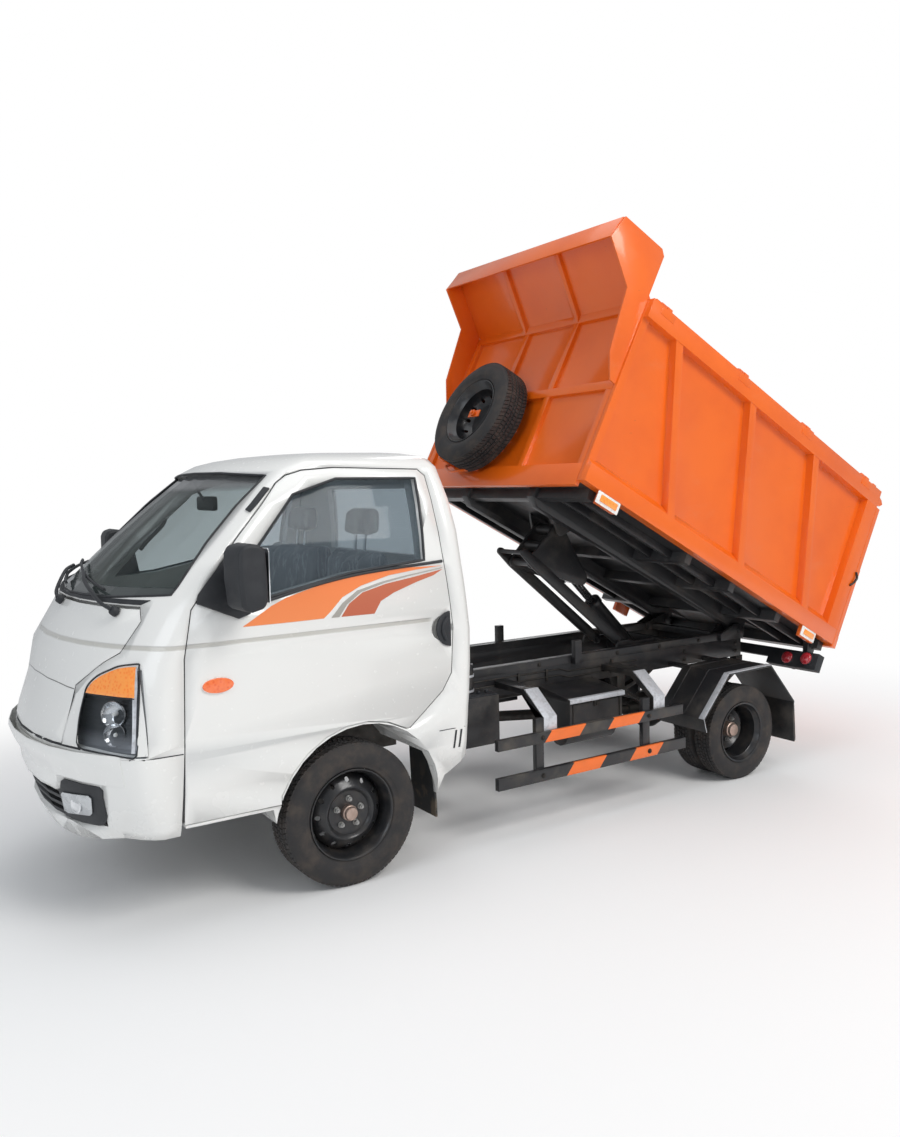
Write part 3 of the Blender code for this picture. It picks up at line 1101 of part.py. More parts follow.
def make_underbody(root):
    """Engine block, exhaust, tank, tool box and hydraulic unit hung on the rails."""
    inside = RAIL_INNER_Y - SEAT_GAP
    block = [box((-0.58, -0.22, 0.43), (0.20, 0.22, 0.735)), box((-0.30, -inside, 0.65), (-0.18, inside, 0.70)),
             rod((-0.55, 0, 0.53), (-0.613, 0, 0.53), 0.09, 16)]
    node("engine_block", block, paint="black_steel", station=root)
    outside = RAIL_OUTER_Y + SEAT_GAP
    tank = [rounded_block((-1.42, -0.64, 0.36), (-0.82, -outside - 0.002, 0.66), 0.05)]
    tank += [box((x - 0.02, -0.40, 0.56), (x + 0.02, -outside, 0.71)) for x in (-1.29, -0.95)]
    node("fuel_tank", tank, paint="black_paint", station=root)
    front = BRACKET_FRONT_X - BRACKET_HALF
    room = front - (BRACKET_REAR_X + BRACKET_HALF)
    front, rear = front - 0.3185 * room, front - 0.9065 * room
    lid = [(outside, 0.655), (0.63, 0.620), (0.63, 0.600), (outside, 0.600)]
    node("tool_box", [box((rear + 0.010, outside, 0.42), (front - 0.010, 0.62, 0.61)),
                      plate(lid, "X", rear, front),
                      rod((rear + 0.022, 0.50, 0.42), (front - 0.026, 0.50, 0.42), 0.085, 18)],
         paint="black_paint", station=root)
    node("hydraulic_unit", [box((-1.02, outside, 0.44), (-0.74, 0.56, 0.70)),
                            rod((-0.88, 0.425, 0.69), (-0.88, 0.425, 0.86), 0.058, 16)],
         paint="black_paint", station=root)
    bend = -WHEELBASE + 0.80
    length = -0.90 - bend
    pipe_path = [(-0.62, -0.26, 0.50), (-0.90, -0.25, 0.47), (bend, -0.25, 0.47), (bend - 0.08, -0.33, 0.49),
                 (bend - 0.14, -0.46, 0.53), (bend - 0.18, -0.62, 0.54)]
    silencer = rod((bend + 0.31 * length, -0.235, 0.47), (bend + 0.79 * length, -0.235, 0.47), 0.055, 14)
    strap_x = bend + 0.52 * length
    strap = box((strap_x, -0.35, 0.45), (strap_x + 0.04, -0.31, RAIL_BOTTOM_Z - SEAT_GAP))
    hanger = box((strap_x, -0.35, 0.45), (strap_x + 0.04, -0.22, 0.48))
    node("exhaust", [pipe(pipe_path, 0.022), silencer, strap, hanger], paint="black_steel", station=root)


def rounded_block(low, high, radius):
    """A block whose four long edges along X are round."""
    y0, z0, y1, z1 = low[1], low[2], high[1], high[2]
    outline = []
    for cy, cz, start in ((y1 - radius, z1 - radius, 0), (y0 + radius, z1 - radius, 90),
                          (y0 + radius, z0 + radius, 180), (y1 - radius, z0 + radius, 270)):
        outline += arc((cy, cz), radius, start, start + 90, 4)
    return plate(outline, "X", low[0], high[0])


def make_side_guards(root):
    """Two rails on posts, held out from the chassis by bent brackets."""
    face = GUARD_FACE_Y
    pieces = [box((GUARD_REAR_X, face - 0.015, 0.476), (GUARD_FRONT_X, face + 0.015, 0.532)),
              box((GUARD_REAR_X - 0.020, face - 0.015, 0.274), (GUARD_FRONT_X + 0.001, face + 0.015, 0.336))]
    for x in (GUARD_FRONT_X - 0.285, GUARD_REAR_X + 0.265):
        pieces.append(box((x - 0.025, face - 0.040, 0.280), (x + 0.025, face - 0.010, 0.60)))
    start = RAIL_OUTER_Y + SEAT_GAP
    for x in (BRACKET_FRONT_X, BRACKET_REAR_X):
        arm = [(start, 0.690), (start, 0.725), (0.625, 0.722), (face - 0.008, 0.600), (face - 0.008, 0.500),
               (face - 0.036, 0.500), (face - 0.036, 0.585), (0.605, 0.690)]
        pieces.append(plate(arm, "X", x - BRACKET_HALF, x + BRACKET_HALF))
    left = node("side_guard_left", pieces, paint="black_paint", station=root)
    mirrored(left, "side_guard_right")





def make_mudguards(root):
    """Bent mudguard over the twin wheels, with a rubber flap behind and two arms to the rail."""
    under = grown_line(MUDGUARD_LINE, MUDGUARD_SHEET)
    band = MUDGUARD_LINE + under[::-1]
    pieces = [plate(band, "Y", MUDGUARD_INNER_Y, MUDGUARD_OUTER_Y)]
    for x in (-WHEELBASE + 0.14, -WHEELBASE - 0.16):
        pieces.append(box((x - 0.02, RAIL_OUTER_Y + SEAT_GAP, 0.645),
                          (x + 0.02, MUDGUARD_OUTER_Y - 0.06, 0.668)))
    left = node("mudguard_left", pieces, paint="black_paint", station=root)
    mirrored(left, "mudguard_right")


def grown_line(points, by):
    """A bent line moved towards its inner side by a distance."""
    result = []
    for i, here in enumerate(points):
        before, after = points[max(0, i - 1)], points[min(len(points) - 1, i + 1)]
        way = (Vector(after) - Vector(before)).normalized()
        result.append((here[0] - way.y * by, here[1] + way.x * by))
    return result


def make_front_flaps(root):
    flap = plate([(-0.455, 0.60), (-0.467, 0.60), (-0.482, 0.21), (-0.470, 0.21)], "Y", 0.56, 0.78 - SEAT_GAP)
    left = node("front_flap_left", [flap], paint="tyre_rubber", station=root)
    mirrored(left, "front_flap_right")


def make_spare(bed):
    """Spare wheel held flat on the headboard."""
    y, v = SPARE
    turn = Matrix.Translation((SPARE_U - HINGE_U, y, v + SILL_DEPTH)) @ Matrix.Rotation(-math.pi / 2, 4, "Z")
    tyre = turned(front_tyre_profile(), (0, 0, 0), WHEEL_STEPS, closed=True)
    tyre.data.transform(turn)
    node("spare_tyre", [tyre], paint="tyre_rubber", station=bed)
    rim = rim_shape((0, 0, 0), FRONT_RIM_RADIUS, FRONT_TYRE_WIDTH * RIM_SHARE, FRONT_OFFSET, 0.026, -1, 0)
    rim.data.transform(turn)
    node("spare_rim", [rim], paint="black_steel", station=bed)


def make_tail_lamps(bed):
    """Round red lamps in a black housing at each rear corner, joined by the bar that carries them."""
    pieces = []
    u, v = 0.055, -0.150
    end = BED_HALF_WIDTH - 0.04
    for side in (-1, 1):
        low, high = sorted((side * (end - 0.34), side * (end + 0.035)))
        pieces.append(bed_box((u - 0.03, low, v - 0.065), (u + 0.03, high, v + 0.045)))
        for y in (end - 0.19, end - 0.05):
            pieces.append(bed_rod((u - 0.045, side * y, v), (u + 0.02, side * y, v), 0.038, 16))
    pieces.append(bed_box((u - 0.015, 0.04 - end, v - 0.015), (u + 0.015, end - 0.04, v + 0.050 - SEAT_GAP)))
    node("tail_lamps", pieces, paint="black_plastic", station=bed)


def make_tailgate(bed):
    """Top-hung tailgate behind the corner posts, a framed sheet with two lock bars."""
    rear, front, top = GATE_REAR_U, -PANEL_GAP, GATE_TOP
    half = BED_HALF_WIDTH - 0.004
    pieces = [bed_box((-0.022, -half, -0.02), (front, half, top))]
    for low, high in ((-0.018, 0.06), (BED_HEIGHT - 0.61, BED_HEIGHT - 0.55), (top - 0.06, top - 0.002)):
        pieces.append(bed_box((rear, 0.002 - half, low), (front - 0.002, half - 0.002, high)))
    for y in (0.034 - half, -0.28, 0.28, half - 0.034):
        pieces.append(bed_box((rear + 0.001, y - 0.03, -0.016), (front - 0.004, y + 0.03, top - 0.004)))
    cuts = []
    for side in (-1, 1):
        low, high = sorted((side * (half - 0.067), side * (half + 0.054)))
        cuts.append(bed_box((-0.10, low, GATE_AXIS[1] - 0.040), (0.02, high, BED_HEIGHT + 0.02)))
        low, high = sorted((side * (half - 0.111), side * (half - 0.046)))
        cuts.append(bed_rod((GATE_AXIS[0], low, GATE_AXIS[1]), (GATE_AXIS[0], high, GATE_AXIS[1]),
                            0.010 + PIN_GAP, PIN_SIDES))
    for side in (-1, 1):
        low, high = sorted((side * (half - 0.118), side * (half - 0.068)))
        pieces.append(bed_rod((GATE_AXIS[0], low, GATE_AXIS[1]), (GATE_AXIS[0], high, GATE_AXIS[1]), 0.021, 12))
    node("tailgate", pieces, cuts, paint="orange_paint", station=bed,
         origin=(GATE_AXIS[0] - HINGE_U, 0, GATE_AXIS[1] + SILL_DEPTH))


def make_lids(bed):
    """Two roof lids hinged along the side rails."""
    y, v = LID_AXIS
    low_v, high_v = BED_HEIGHT + PANEL_GAP, BED_HEIGHT + PANEL_GAP + 0.016
    front = HEAD_U - 0.01
    pieces = [bed_box((0.01, 0.003, low_v), (front, y - 0.018, high_v))]
    for u in (0.012, front * 0.329, front * 0.658, front - 0.042):
        pieces.append(bed_box((u, 0.030, high_v - 0.002), (u + 0.04, y - 0.020, high_v + 0.016)))
    pieces.append(bed_box((0.011, 0.004, high_v - 0.002), (front - 0.001, 0.035, high_v + 0.0165)))
    bores = []
    for u in LID_HINGES:
        pieces.append(bed_box((u + 0.023, y - 0.030, low_v + 0.002), (u + 0.063, y, high_v)))
        pieces.append(bed_rod((u + 0.023, y, v), (u + 0.063, y, v), 0.0105, 8))
        bores.append(bed_rod((u, y, v), (u + 0.059, y, v), LID_PIN_RADIUS + 1.4 * PIN_GAP, 8))
    left = node("lid_left", pieces, bores, paint="orange_paint", station=bed,
                origin=(-HINGE_U, y, v + SILL_DEPTH))
    mirrored(left, "lid_right")


def main():
    lid_v = BED_HEIGHT + PANEL_GAP + 0.030
    rearmost = min(bed_point(GATE_REAR_U, GATE_TOP)[0], bed_point(0.01, lid_v)[0])
    nose = max(level[1] for level in CAB_LEVELS)
    root = empty("garbage_truck_root", (-(nose + rearmost) / 2, 0, 0))
    bed = empty("bed_hinge", (HINGE_X, 0, HINGE_Z), root, TIP_ANGLE)
    make_cab(root)
    make_glass(root)
    make_bumper(root)
    make_headlamps(root)
    make_bonnet(root)
    make_doors(root)
    make_cabin(root)
    make_wipers(root)
    make_chassis(root)
    make_subframe(root)
    make_hoist(root)
    make_front_wheels(root)
    make_front_axle(root)
    make_rear_wheels(root)
    make_rear_axle(root)
    make_underbody(root)
    make_side_guards(root)
    make_mudguards(root)
    make_front_flaps(root)
    make_bed_floor(bed)
    make_bed_sides(bed)
    make_headboard(bed)
    make_spare(bed)
    make_tail_lamps(bed)
    make_tailgate(bed)
    make_lids(bed)


main()
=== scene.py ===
"""Looks of the garbage truck: an add-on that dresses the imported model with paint, tyres, lamps and trim."""

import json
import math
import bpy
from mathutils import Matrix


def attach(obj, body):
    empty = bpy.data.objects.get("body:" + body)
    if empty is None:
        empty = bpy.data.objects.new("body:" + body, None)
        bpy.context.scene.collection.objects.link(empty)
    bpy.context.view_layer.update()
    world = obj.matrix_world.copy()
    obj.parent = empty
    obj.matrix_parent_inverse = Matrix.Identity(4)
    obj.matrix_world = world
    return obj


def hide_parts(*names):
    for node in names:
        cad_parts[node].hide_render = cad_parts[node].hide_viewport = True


bl_info = {
    "name": "Garbage truck dressing",
    "version": (1, 0, 0),
    "blender": (4, 5, 0),
    "location": "3D View > Sidebar > Truck",
    "description": "Paint, tyres, lamps, trim, seats and a plain studio for the tipper garbage truck",
    "category": "Object",
}

import bpy
from mathutils import Matrix, Vector

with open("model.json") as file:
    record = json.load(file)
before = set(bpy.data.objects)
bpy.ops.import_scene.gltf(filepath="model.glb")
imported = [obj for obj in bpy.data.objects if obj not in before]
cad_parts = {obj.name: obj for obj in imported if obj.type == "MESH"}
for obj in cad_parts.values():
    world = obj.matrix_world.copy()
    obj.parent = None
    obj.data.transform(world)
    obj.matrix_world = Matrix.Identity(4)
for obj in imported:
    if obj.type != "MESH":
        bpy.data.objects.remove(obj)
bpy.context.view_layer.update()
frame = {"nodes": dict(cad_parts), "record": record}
NODES = frame["nodes"]

# Places are counted from the front axle along X and from the ground along Z
AXLE_X = 1.3620
HINGE = (-1.7424, 0.0, 0.8065)
HINGE_U = 0.33
SILL_DEPTH = 0.10
TIP_ANGLE = math.radians(27.81)
TO_WORLD = Matrix.Translation((AXLE_X, 0, 0))
TO_BED = (Matrix.Translation(HINGE) @ Matrix.Rotation(-TIP_ANGLE, 4, "Y")
          @ Matrix.Translation((-HINGE_U, 0, SILL_DEPTH)))
SMOOTH_ANGLE = math.radians(35)
WELD_GAP = 0.00002

# Cab form, levels as height, nose, half width, rear wall, curve of the front at the side
CAB_LEVELS = (
    (0.330, 1.135, 0.810, -0.620, 0.27), (0.450, 1.190, 0.845, -0.625, 0.27),
    (0.583, 1.224, 0.858, -0.632, 0.27), (0.753, 1.241, 0.866, -0.640, 0.27),
    (0.818, 1.230, 0.868, -0.645, 0.27), (0.976, 1.176, 0.870, -0.653, 0.27),
    (1.130, 1.145, 0.870, -0.655, 0.27), (1.269, 1.058, 0.864, -0.644, 0.26),
    (1.380, 0.990, 0.853, -0.636, 0.25), (1.430, 0.935, 0.846, -0.632, 0.25),
    (1.600, 0.754, 0.812, -0.628, 0.22), (1.750, 0.574, 0.768, -0.612, 0.19),
    (1.904, 0.375, 0.705, -0.586, 0.17), (1.940, 0.300, 0.655, -0.574, 0.15),
)
FRONT_STEPS = (0.0, 0.25, 0.48, 0.68, 0.84, 0.925, 0.970, 0.993)

# Outlines on the cab, at x and z on its side and at y and z on its front
DOOR_OUTLINE = [
    (0.776, 0.470), (0.765, 0.800), (0.751, 1.141), (0.710, 1.336), (0.495, 1.603), (0.262, 1.840),
    (0.215, 1.872), (0.140, 1.893), (-0.016, 1.900), (-0.455, 1.890), (-0.487, 1.860),
    (-0.508, 1.456), (-0.534, 1.149), (-0.520, 0.930), (-0.470, 0.850), (-0.290, 0.700),
]
WINDOW_OUTLINE = [
    (-0.405, 1.470), (-0.431, 1.850), (-0.016, 1.855), (0.205, 1.790), (0.440, 1.535), (0.600, 1.352),
    (0.364, 1.365), (-0.016, 1.436),
]
SCREEN_OUTLINE = [
    (-0.765, 1.395), (-0.45, 1.375), (0.0, 1.368), (0.45, 1.375), (0.765, 1.395), (0.625, 1.875),
    (0.30, 1.893), (0.0, 1.897), (-0.30, 1.893), (-0.625, 1.875),
]
PANEL_GAP = 0.0055

# Middle of the spare wheel on the raised bed, and the tail lamps' distances from the middle
SPARE_PLACE = (2.445, -0.19, 0.375)
TAIL_LAMPS = (0.625, 0.765)

# Wheels, with a tyre given by its radius, its bead's radius and its width
FRONT_WHEEL = (0.0, 0.7425, 0.3325)
FRONT_TYRE = (0.3325, 0.2095, 0.195)
REAR_WHEELS = (-2.64, 0.6615, 0.285)
REAR_TYRE = (0.285, 0.1805, 0.145)
TWIN_STEP = 0.0835

# Frame and guards: faces on which bolts sit, and places of the bent brackets along the frame
RAIL_FACE = 0.3605
BRACKET_FACE = 0.3655
GUARD_FACE = 0.8155
BRACKETS = (-1.178, -1.962)
GUARD_RAILS = (0.504, 0.305)
GUARD_MARK_SLOPE = 0.85

# Seat padding: cell of the remesh, air pressure in the pad and steps of the cloth
SEAT_CELL = 0.011
SEAT_PRESSURE = 4.0
SEAT_STEPS = 20

# The photograph's camera, solved from the wheels, the door and the frame
CAMERA_PLACE = (3.33403, 4.71415, 1.83084)
CAMERA_YAW = math.radians(33.0275)
CAMERA_PITCH = math.radians(4.9947)
CAMERA_ROLL = math.radians(-1.3328)
FOCAL_PIXELS = 979.346
PICTURE_HEIGHT = 1137
SHIFT_PIXELS = -1.5
SENSOR = 36


class TruckSizes(bpy.types.PropertyGroup):
    """Sizes of the details that a user may change."""

    edge: bpy.props.FloatProperty(
        name="Edge", description="Rounding on the edges of sheet and plate", default=0.0022, unit="LENGTH")
    tread_depth: bpy.props.FloatProperty(
        name="Tread depth", description="Depth of the grooves between the tread blocks", default=0.007,
        unit="LENGTH")
    tread_gap: bpy.props.FloatProperty(
        name="Tread gap", description="Width of the grooves between the tread blocks", default=0.005,
        unit="LENGTH")
    seat_swell: bpy.props.FloatProperty(
        name="Seat swell", description="Most that a seat's cloth may stand proud", default=0.022,
        unit="LENGTH")


class TruckColours(bpy.types.PropertyGroup):
    """Colours that a user may change."""

    cab: bpy.props.FloatVectorProperty(
        name="Cab", description="Paint of the cab", default=(0.85, 0.85, 0.83), subtype="COLOR",
        min=0, max=1)
    body: bpy.props.FloatVectorProperty(
        name="Body", description="Paint of the tipping body", default=(0.88, 0.148, 0.005), subtype="COLOR",
        min=0, max=1)
    chassis: bpy.props.FloatVectorProperty(
        name="Chassis", description="Paint of the chassis and the bed's underside",
        default=(0.016, 0.016, 0.018), subtype="COLOR", min=0, max=1)
    stripe: bpy.props.FloatVectorProperty(
        name="Stripe", description="Warning marks on the side guards", default=(0.90, 0.17, 0.02),
        subtype="COLOR", min=0, max=1)


# Materials

class Value:
    """A socket of a material, on which sums are written as plain expressions."""

    def __init__(self, coat, socket):
        self.coat = coat
        self.socket = socket

    def maths(self, operation, *others, clamp=False):
        """The result of a Math node on the given values."""
        values = dict(enumerate(others))
        return self.coat.node("ShaderNodeMath", {"operation": operation, "use_clamp": clamp}, values)

    def __add__(self, other):
        return self.maths("ADD", self, other)

    def __radd__(self, other):
        return self.maths("ADD", other, self)

    def __sub__(self, other):
        return self.maths("SUBTRACT", self, other)

    def __rsub__(self, other):
        return self.maths("SUBTRACT", other, self)

    def __mul__(self, other):
        return self.maths("MULTIPLY", self, other)

    def __rmul__(self, other):
        return self.maths("MULTIPLY", other, self)

    def __truediv__(self, other):
        return self.maths("DIVIDE", self, other)

    def __abs__(self):
        return self.maths("ABSOLUTE", self)

    def wave(self):
        """The sine of this value in radians."""
        return self.maths("SINE", self)

    def step(self, low, high):
        """Rises from 0 to 1 between two values of this one."""
        return self.coat.node("ShaderNodeMapRange", {"interpolation_type": "SMOOTHSTEP"},
                              {"Value": self, "From Min": low, "From Max": high})

    def within(self, low, high, soft):
        """1 between two values and 0 outside them, with soft edges."""
        return self.step(low - soft, low + soft) * (1 - self.step(high - soft, high + soft))


class Coat:
    """A material under construction: its tree, its shader and the one method that adds any node."""

    def __init__(self, name, **shader):
        self.material = bpy.data.materials.new(name)
        self.material.use_nodes = True
        self.tree = self.material.node_tree
        self.shader = self.tree.nodes["Principled BSDF"]
        for socket, value in shader.items():
            self.shader.inputs[socket.replace("_", " ")].default_value = value
        self.object = self.node("ShaderNodeTexCoord", output="Object")

    def node(self, kind, settings=None, sockets=None, output=0):
        """Adds a node with its settings and its sockets' values or links, and gives one of its outputs."""
        made = self.tree.nodes.new(kind)
        for key, value in (settings or {}).items():
            if key == "stops":
                ramp = made.color_ramp
                ramp.elements[0].position, ramp.elements[0].color = value[0]
                ramp.elements[1].position, ramp.elements[1].color = value[-1]
                for position, colour in value[1:-1]:
                    ramp.elements.new(position).color = colour
            else:
                setattr(made, key, value)
        for key, value in (sockets or {}).items():
            self.set(made.inputs[key], value)
        return Value(self, made.outputs[output])

    def set(self, socket, value):
        """Links a value to a socket, or writes a number or colour into it."""
        if isinstance(value, Value):
            self.tree.links.new(value.socket, socket)
        elif hasattr(value, "__len__") and socket.type == "RGBA":
            socket.default_value = (*value, 1.0)[:4]
        else:
            socket.default_value = value

    def axes(self):
        """The three object coordinates."""
        split = self.node("ShaderNodeSeparateXYZ", sockets={"Vector": self.object})
        outputs = split.socket.node.outputs
        return tuple(Value(self, outputs[axis]) for axis in "XYZ")

    def noise(self, scale, detail=2.0, stretch=(1, 1, 1), rough=0.5):
        """Noise in object coordinates."""
        vector = self.object
        if stretch != (1, 1, 1):
            vector = self.node("ShaderNodeMapping", sockets={"Vector": self.object, "Scale": stretch})
        return self.node("ShaderNodeTexNoise", sockets={
            "Vector": vector, "Scale": scale, "Detail": detail, "Roughness": rough})

    def blend(self, share, first, second):
        """A colour between two, by a share of the second."""
        made = self.tree.nodes.new("ShaderNodeMix")
        made.data_type = "RGBA"
        for socket, value in ((made.inputs[0], share), (made.inputs[6], first), (made.inputs[7], second)):
            self.set(socket, value)
        return Value(self, made.outputs[2])

    def bump(self, height, distance, strength=1.0):
        """A normal that is bent by a height."""
        return self.node("ShaderNodeBump", sockets={
            "Height": height, "Distance": distance, "Strength": strength})

    def finish(self, **sockets):
        """Sets the shader's sockets and gives the finished material."""
        for name, value in sockets.items():
            self.set(self.shader.inputs[name.replace("_", " ")], value)
        return self.material


MATERIALS = {}


def colours():
    """The colours that the user may change."""
    return bpy.context.scene.truck_colours


def sizes():
    """The sizes that the user may change."""
    return bpy.context.scene.truck_sizes


def cab_paint():
    """Pearl white paint with road dust low down, and the pressed crease and the nose's shut line, both
    pressed in as bumps and painted darker as their shade.
    """
    coat = Coat("cab_paint", Coat_Weight=0.6, Coat_Roughness=0.06)
    x, y, z = coat.axes()
    white = tuple(colours().cab)
    grey = tuple(c * 0.86 for c in white)
    base = coat.blend(coat.noise(2.2, 3) * 0.16, white, grey)
    low = 1 - z.step(0.36, 0.62)
    dust = low * coat.noise(9, 5).step(0.45, 0.80) * 0.16
    base = coat.blend(dust, base, (0.52, 0.47, 0.39))
    # Painted shade: the crease's band is painted darker, on top of its bump
    crease = z.within(1.182, 1.199, 0.004) * x.step(0.93, 0.97)
    base = coat.blend(crease * 0.62, base, (0.42, 0.40, 0.35))
    # Painted shade: the nose's shut line is painted near black for the shade in its gap
    line = (z + 0.09 * (y * y)).within(1.0215, 1.0255, 0.0012) * x.step(2.36, 2.38)
    line = line * (1 - abs(y).step(0.465, 0.469))
    base = coat.blend(line * 0.85, base, (0.10, 0.10, 0.10))
    height = coat.noise(650, 1) * 0.02 - crease * 1.0 - line * 1.0
    return coat.finish(
        Base_Color=base, Roughness=0.24 + dust * 0.8 + coat.noise(40, 4) * 0.05,
        Normal=coat.bump(height, 0.004, 0.9))


def body_paint():
    """Orange body paint, thinly sprayed, with patches of dust and faint dark streaks."""
    coat = Coat("body_paint", Coat_Weight=0.55, Coat_Roughness=0.10)
    orange = tuple(colours().body)
    deep = (orange[0] * 0.80, orange[1] * 0.62, orange[2])
    base = coat.blend(coat.noise(2.6, 4).step(0.35, 0.75) * 0.4, orange, deep)
    dust = coat.noise(3.5, 6, (1, 1, 2.2), 0.62).step(0.56, 0.82) * 0.14
    base = coat.blend(dust, base, (0.70, 0.30, 0.16))
    scuff = coat.noise(55, 3, (0.25, 1, 1)).step(0.70, 0.76) * coat.noise(5, 2).step(0.50, 0.62) * 0.35
    base = coat.blend(scuff, base, (0.42, 0.10, 0.03))
    height = coat.noise(420, 2) * 0.10 + coat.noise(6, 2) * 1.0
    return coat.finish(
        Base_Color=base, Roughness=0.26 + dust * 0.9 + coat.noise(30, 4) * 0.10,
        Normal=coat.bump(height, 0.0016, 0.8))


def chassis_paint():
    """Brushed black chassis paint under a film of road dust."""
    coat = Coat("chassis_paint", Coat_Weight=0.15, Coat_Roughness=0.25)
    black = tuple(colours().chassis)
    dust = coat.noise(4.5, 7, (1, 1, 1), 0.65).step(0.46, 0.78)
    base = coat.blend(dust * 0.50, black, (0.115, 0.098, 0.080))
    chip = coat.noise(95, 3).step(0.72, 0.76) * 0.5
    base = coat.blend(chip, base, (0.16, 0.08, 0.045))
    height = coat.noise(160, 4, (1, 0.3, 1)) * 0.5 + dust * 0.3 - chip
    return coat.finish(Base_Color=base, Roughness=0.36 + dust * 0.34, Normal=coat.bump(height, 0.0012, 0.7))


def moulded_plastic():
    """Black moulded plastic with a fine leather grain."""
    coat = Coat("moulded_plastic")
    grain = coat.node("ShaderNodeTexVoronoi", sockets={"Vector": coat.object, "Scale": 520.0})
    haze = coat.noise(9, 4)
    base = coat.blend(haze.step(0.4, 0.8) * 0.6, (0.016, 0.018, 0.022), (0.045, 0.047, 0.052))
    return coat.finish(Base_Color=base, Roughness=0.46 + haze * 0.16, Normal=coat.bump(grain, 0.0006, 0.55))


def lamp_housing():
    """Dark satin inside of a headlamp, paler towards its floor where the light gathers."""
    coat = Coat("lamp_housing", Coat_Weight=0.4, Coat_Roughness=0.12)
    z = coat.axes()[2]
    ribs = (z * 420).wave()
    base = coat.blend(1 - z.step(0.79, 0.86), (0.060, 0.064, 0.070), (0.30, 0.31, 0.33))
    return coat.finish(Base_Color=base, Roughness=0.28 + coat.noise(30, 3) * 0.12, Metallic=0.4,
                       Normal=coat.bump(ribs, 0.0008, 0.5))


def dash_plastic():
    """Grey soft plastic inside the cab."""
    coat = Coat("dash_plastic")
    z = coat.axes()[2]
    grain = coat.node("ShaderNodeTexVoronoi", sockets={"Vector": coat.object, "Scale": 380.0})
    base = coat.blend(z.step(1.18, 1.24), (0.16, 0.16, 0.155), (0.060, 0.063, 0.067))
    return coat.finish(
        Base_Color=coat.blend(coat.noise(6, 3) * 0.3, base, (0.11, 0.115, 0.12)),
        Roughness=0.55 + coat.noise(25, 3) * 0.15, Normal=coat.bump(grain, 0.0007, 0.5))


def tyre_rubber():
    """Tyre rubber, greyed and browned by road dust."""
    coat = Coat("tyre_rubber")
    dust = coat.noise(11, 6, (1, 1, 1), 0.62).step(0.38, 0.78)
    base = coat.blend(dust * 0.75, (0.020, 0.019, 0.020), (0.088, 0.070, 0.058))
    height = coat.noise(240, 3) * 0.4 + coat.noise(40, 3) * 0.3
    return coat.finish(Base_Color=base, Roughness=0.66 + dust * 0.24, Normal=coat.bump(height, 0.0010, 0.7))


def flap_rubber():
    """Flat black rubber sheet with mud splashed up from below."""
    coat = Coat("flap_rubber")
    z = coat.axes()[2]
    mud = coat.noise(16, 6).step(0.48, 0.62) * (1 - z.step(0.20, 0.55)) * 0.6
    base = coat.blend(mud, (0.020, 0.020, 0.021), (0.17, 0.13, 0.09))
    height = coat.noise(90, 3) + coat.noise(500, 1) * 0.2
    return coat.finish(Base_Color=base, Roughness=0.68 + mud * 0.25, Normal=coat.bump(height, 0.0010, 0.6))


def wheel_steel():
    """Satin black wheel steel with brake dust and chipped edges."""
    coat = Coat("wheel_steel", Coat_Weight=0.35, Coat_Roughness=0.16)
    dust = coat.noise(14, 5).step(0.42, 0.80)
    base = coat.blend(dust * 0.45, (0.022, 0.023, 0.026), (0.105, 0.088, 0.072))
    chip = coat.noise(120, 2).step(0.74, 0.78) * 0.6
    base = coat.blend(chip, base, (0.22, 0.14, 0.10))
    return coat.finish(Base_Color=base, Roughness=0.30 + dust * 0.35, Metallic=0.35 - chip * 0.3,
                       Normal=coat.bump(coat.noise(70, 3) - chip, 0.0008, 0.6))


def bright_metal(name, colour, rough, rust=0.0):
    """Bare or plated metal, finely brushed, with tarnish and a little rust where it is given."""
    coat = Coat(name)
    tarnish = coat.noise(18, 5).step(0.40, 0.75)
    base = coat.blend(tarnish * 0.45, colour, tuple(c * 0.55 for c in colour))
    spots = coat.noise(60, 5).step(0.60, 0.72) * rust
    base = coat.blend(spots, base, (0.26, 0.10, 0.035))
    brushed = coat.noise(300, 2, (0.05, 1, 1))
    return coat.finish(Base_Color=base, Metallic=0.95 - spots * 0.8,
                       Roughness=rough + tarnish * 0.16 + spots * 0.3, Normal=coat.bump(brushed, 0.0005, 0.5))


def trim_strip():
    """Silvery tape along the mudguards and the guards' brackets, scuffed and dusty."""
    coat = Coat("trim_strip")
    worn = coat.noise(34, 5).step(0.42, 0.70)
    base = coat.blend(worn * 0.55, (0.66, 0.68, 0.72), (0.36, 0.36, 0.37))
    return coat.finish(Base_Color=base, Metallic=0.35, Roughness=0.34 + worn * 0.3,
                       Normal=coat.bump(coat.noise(150, 3), 0.0008, 0.5))


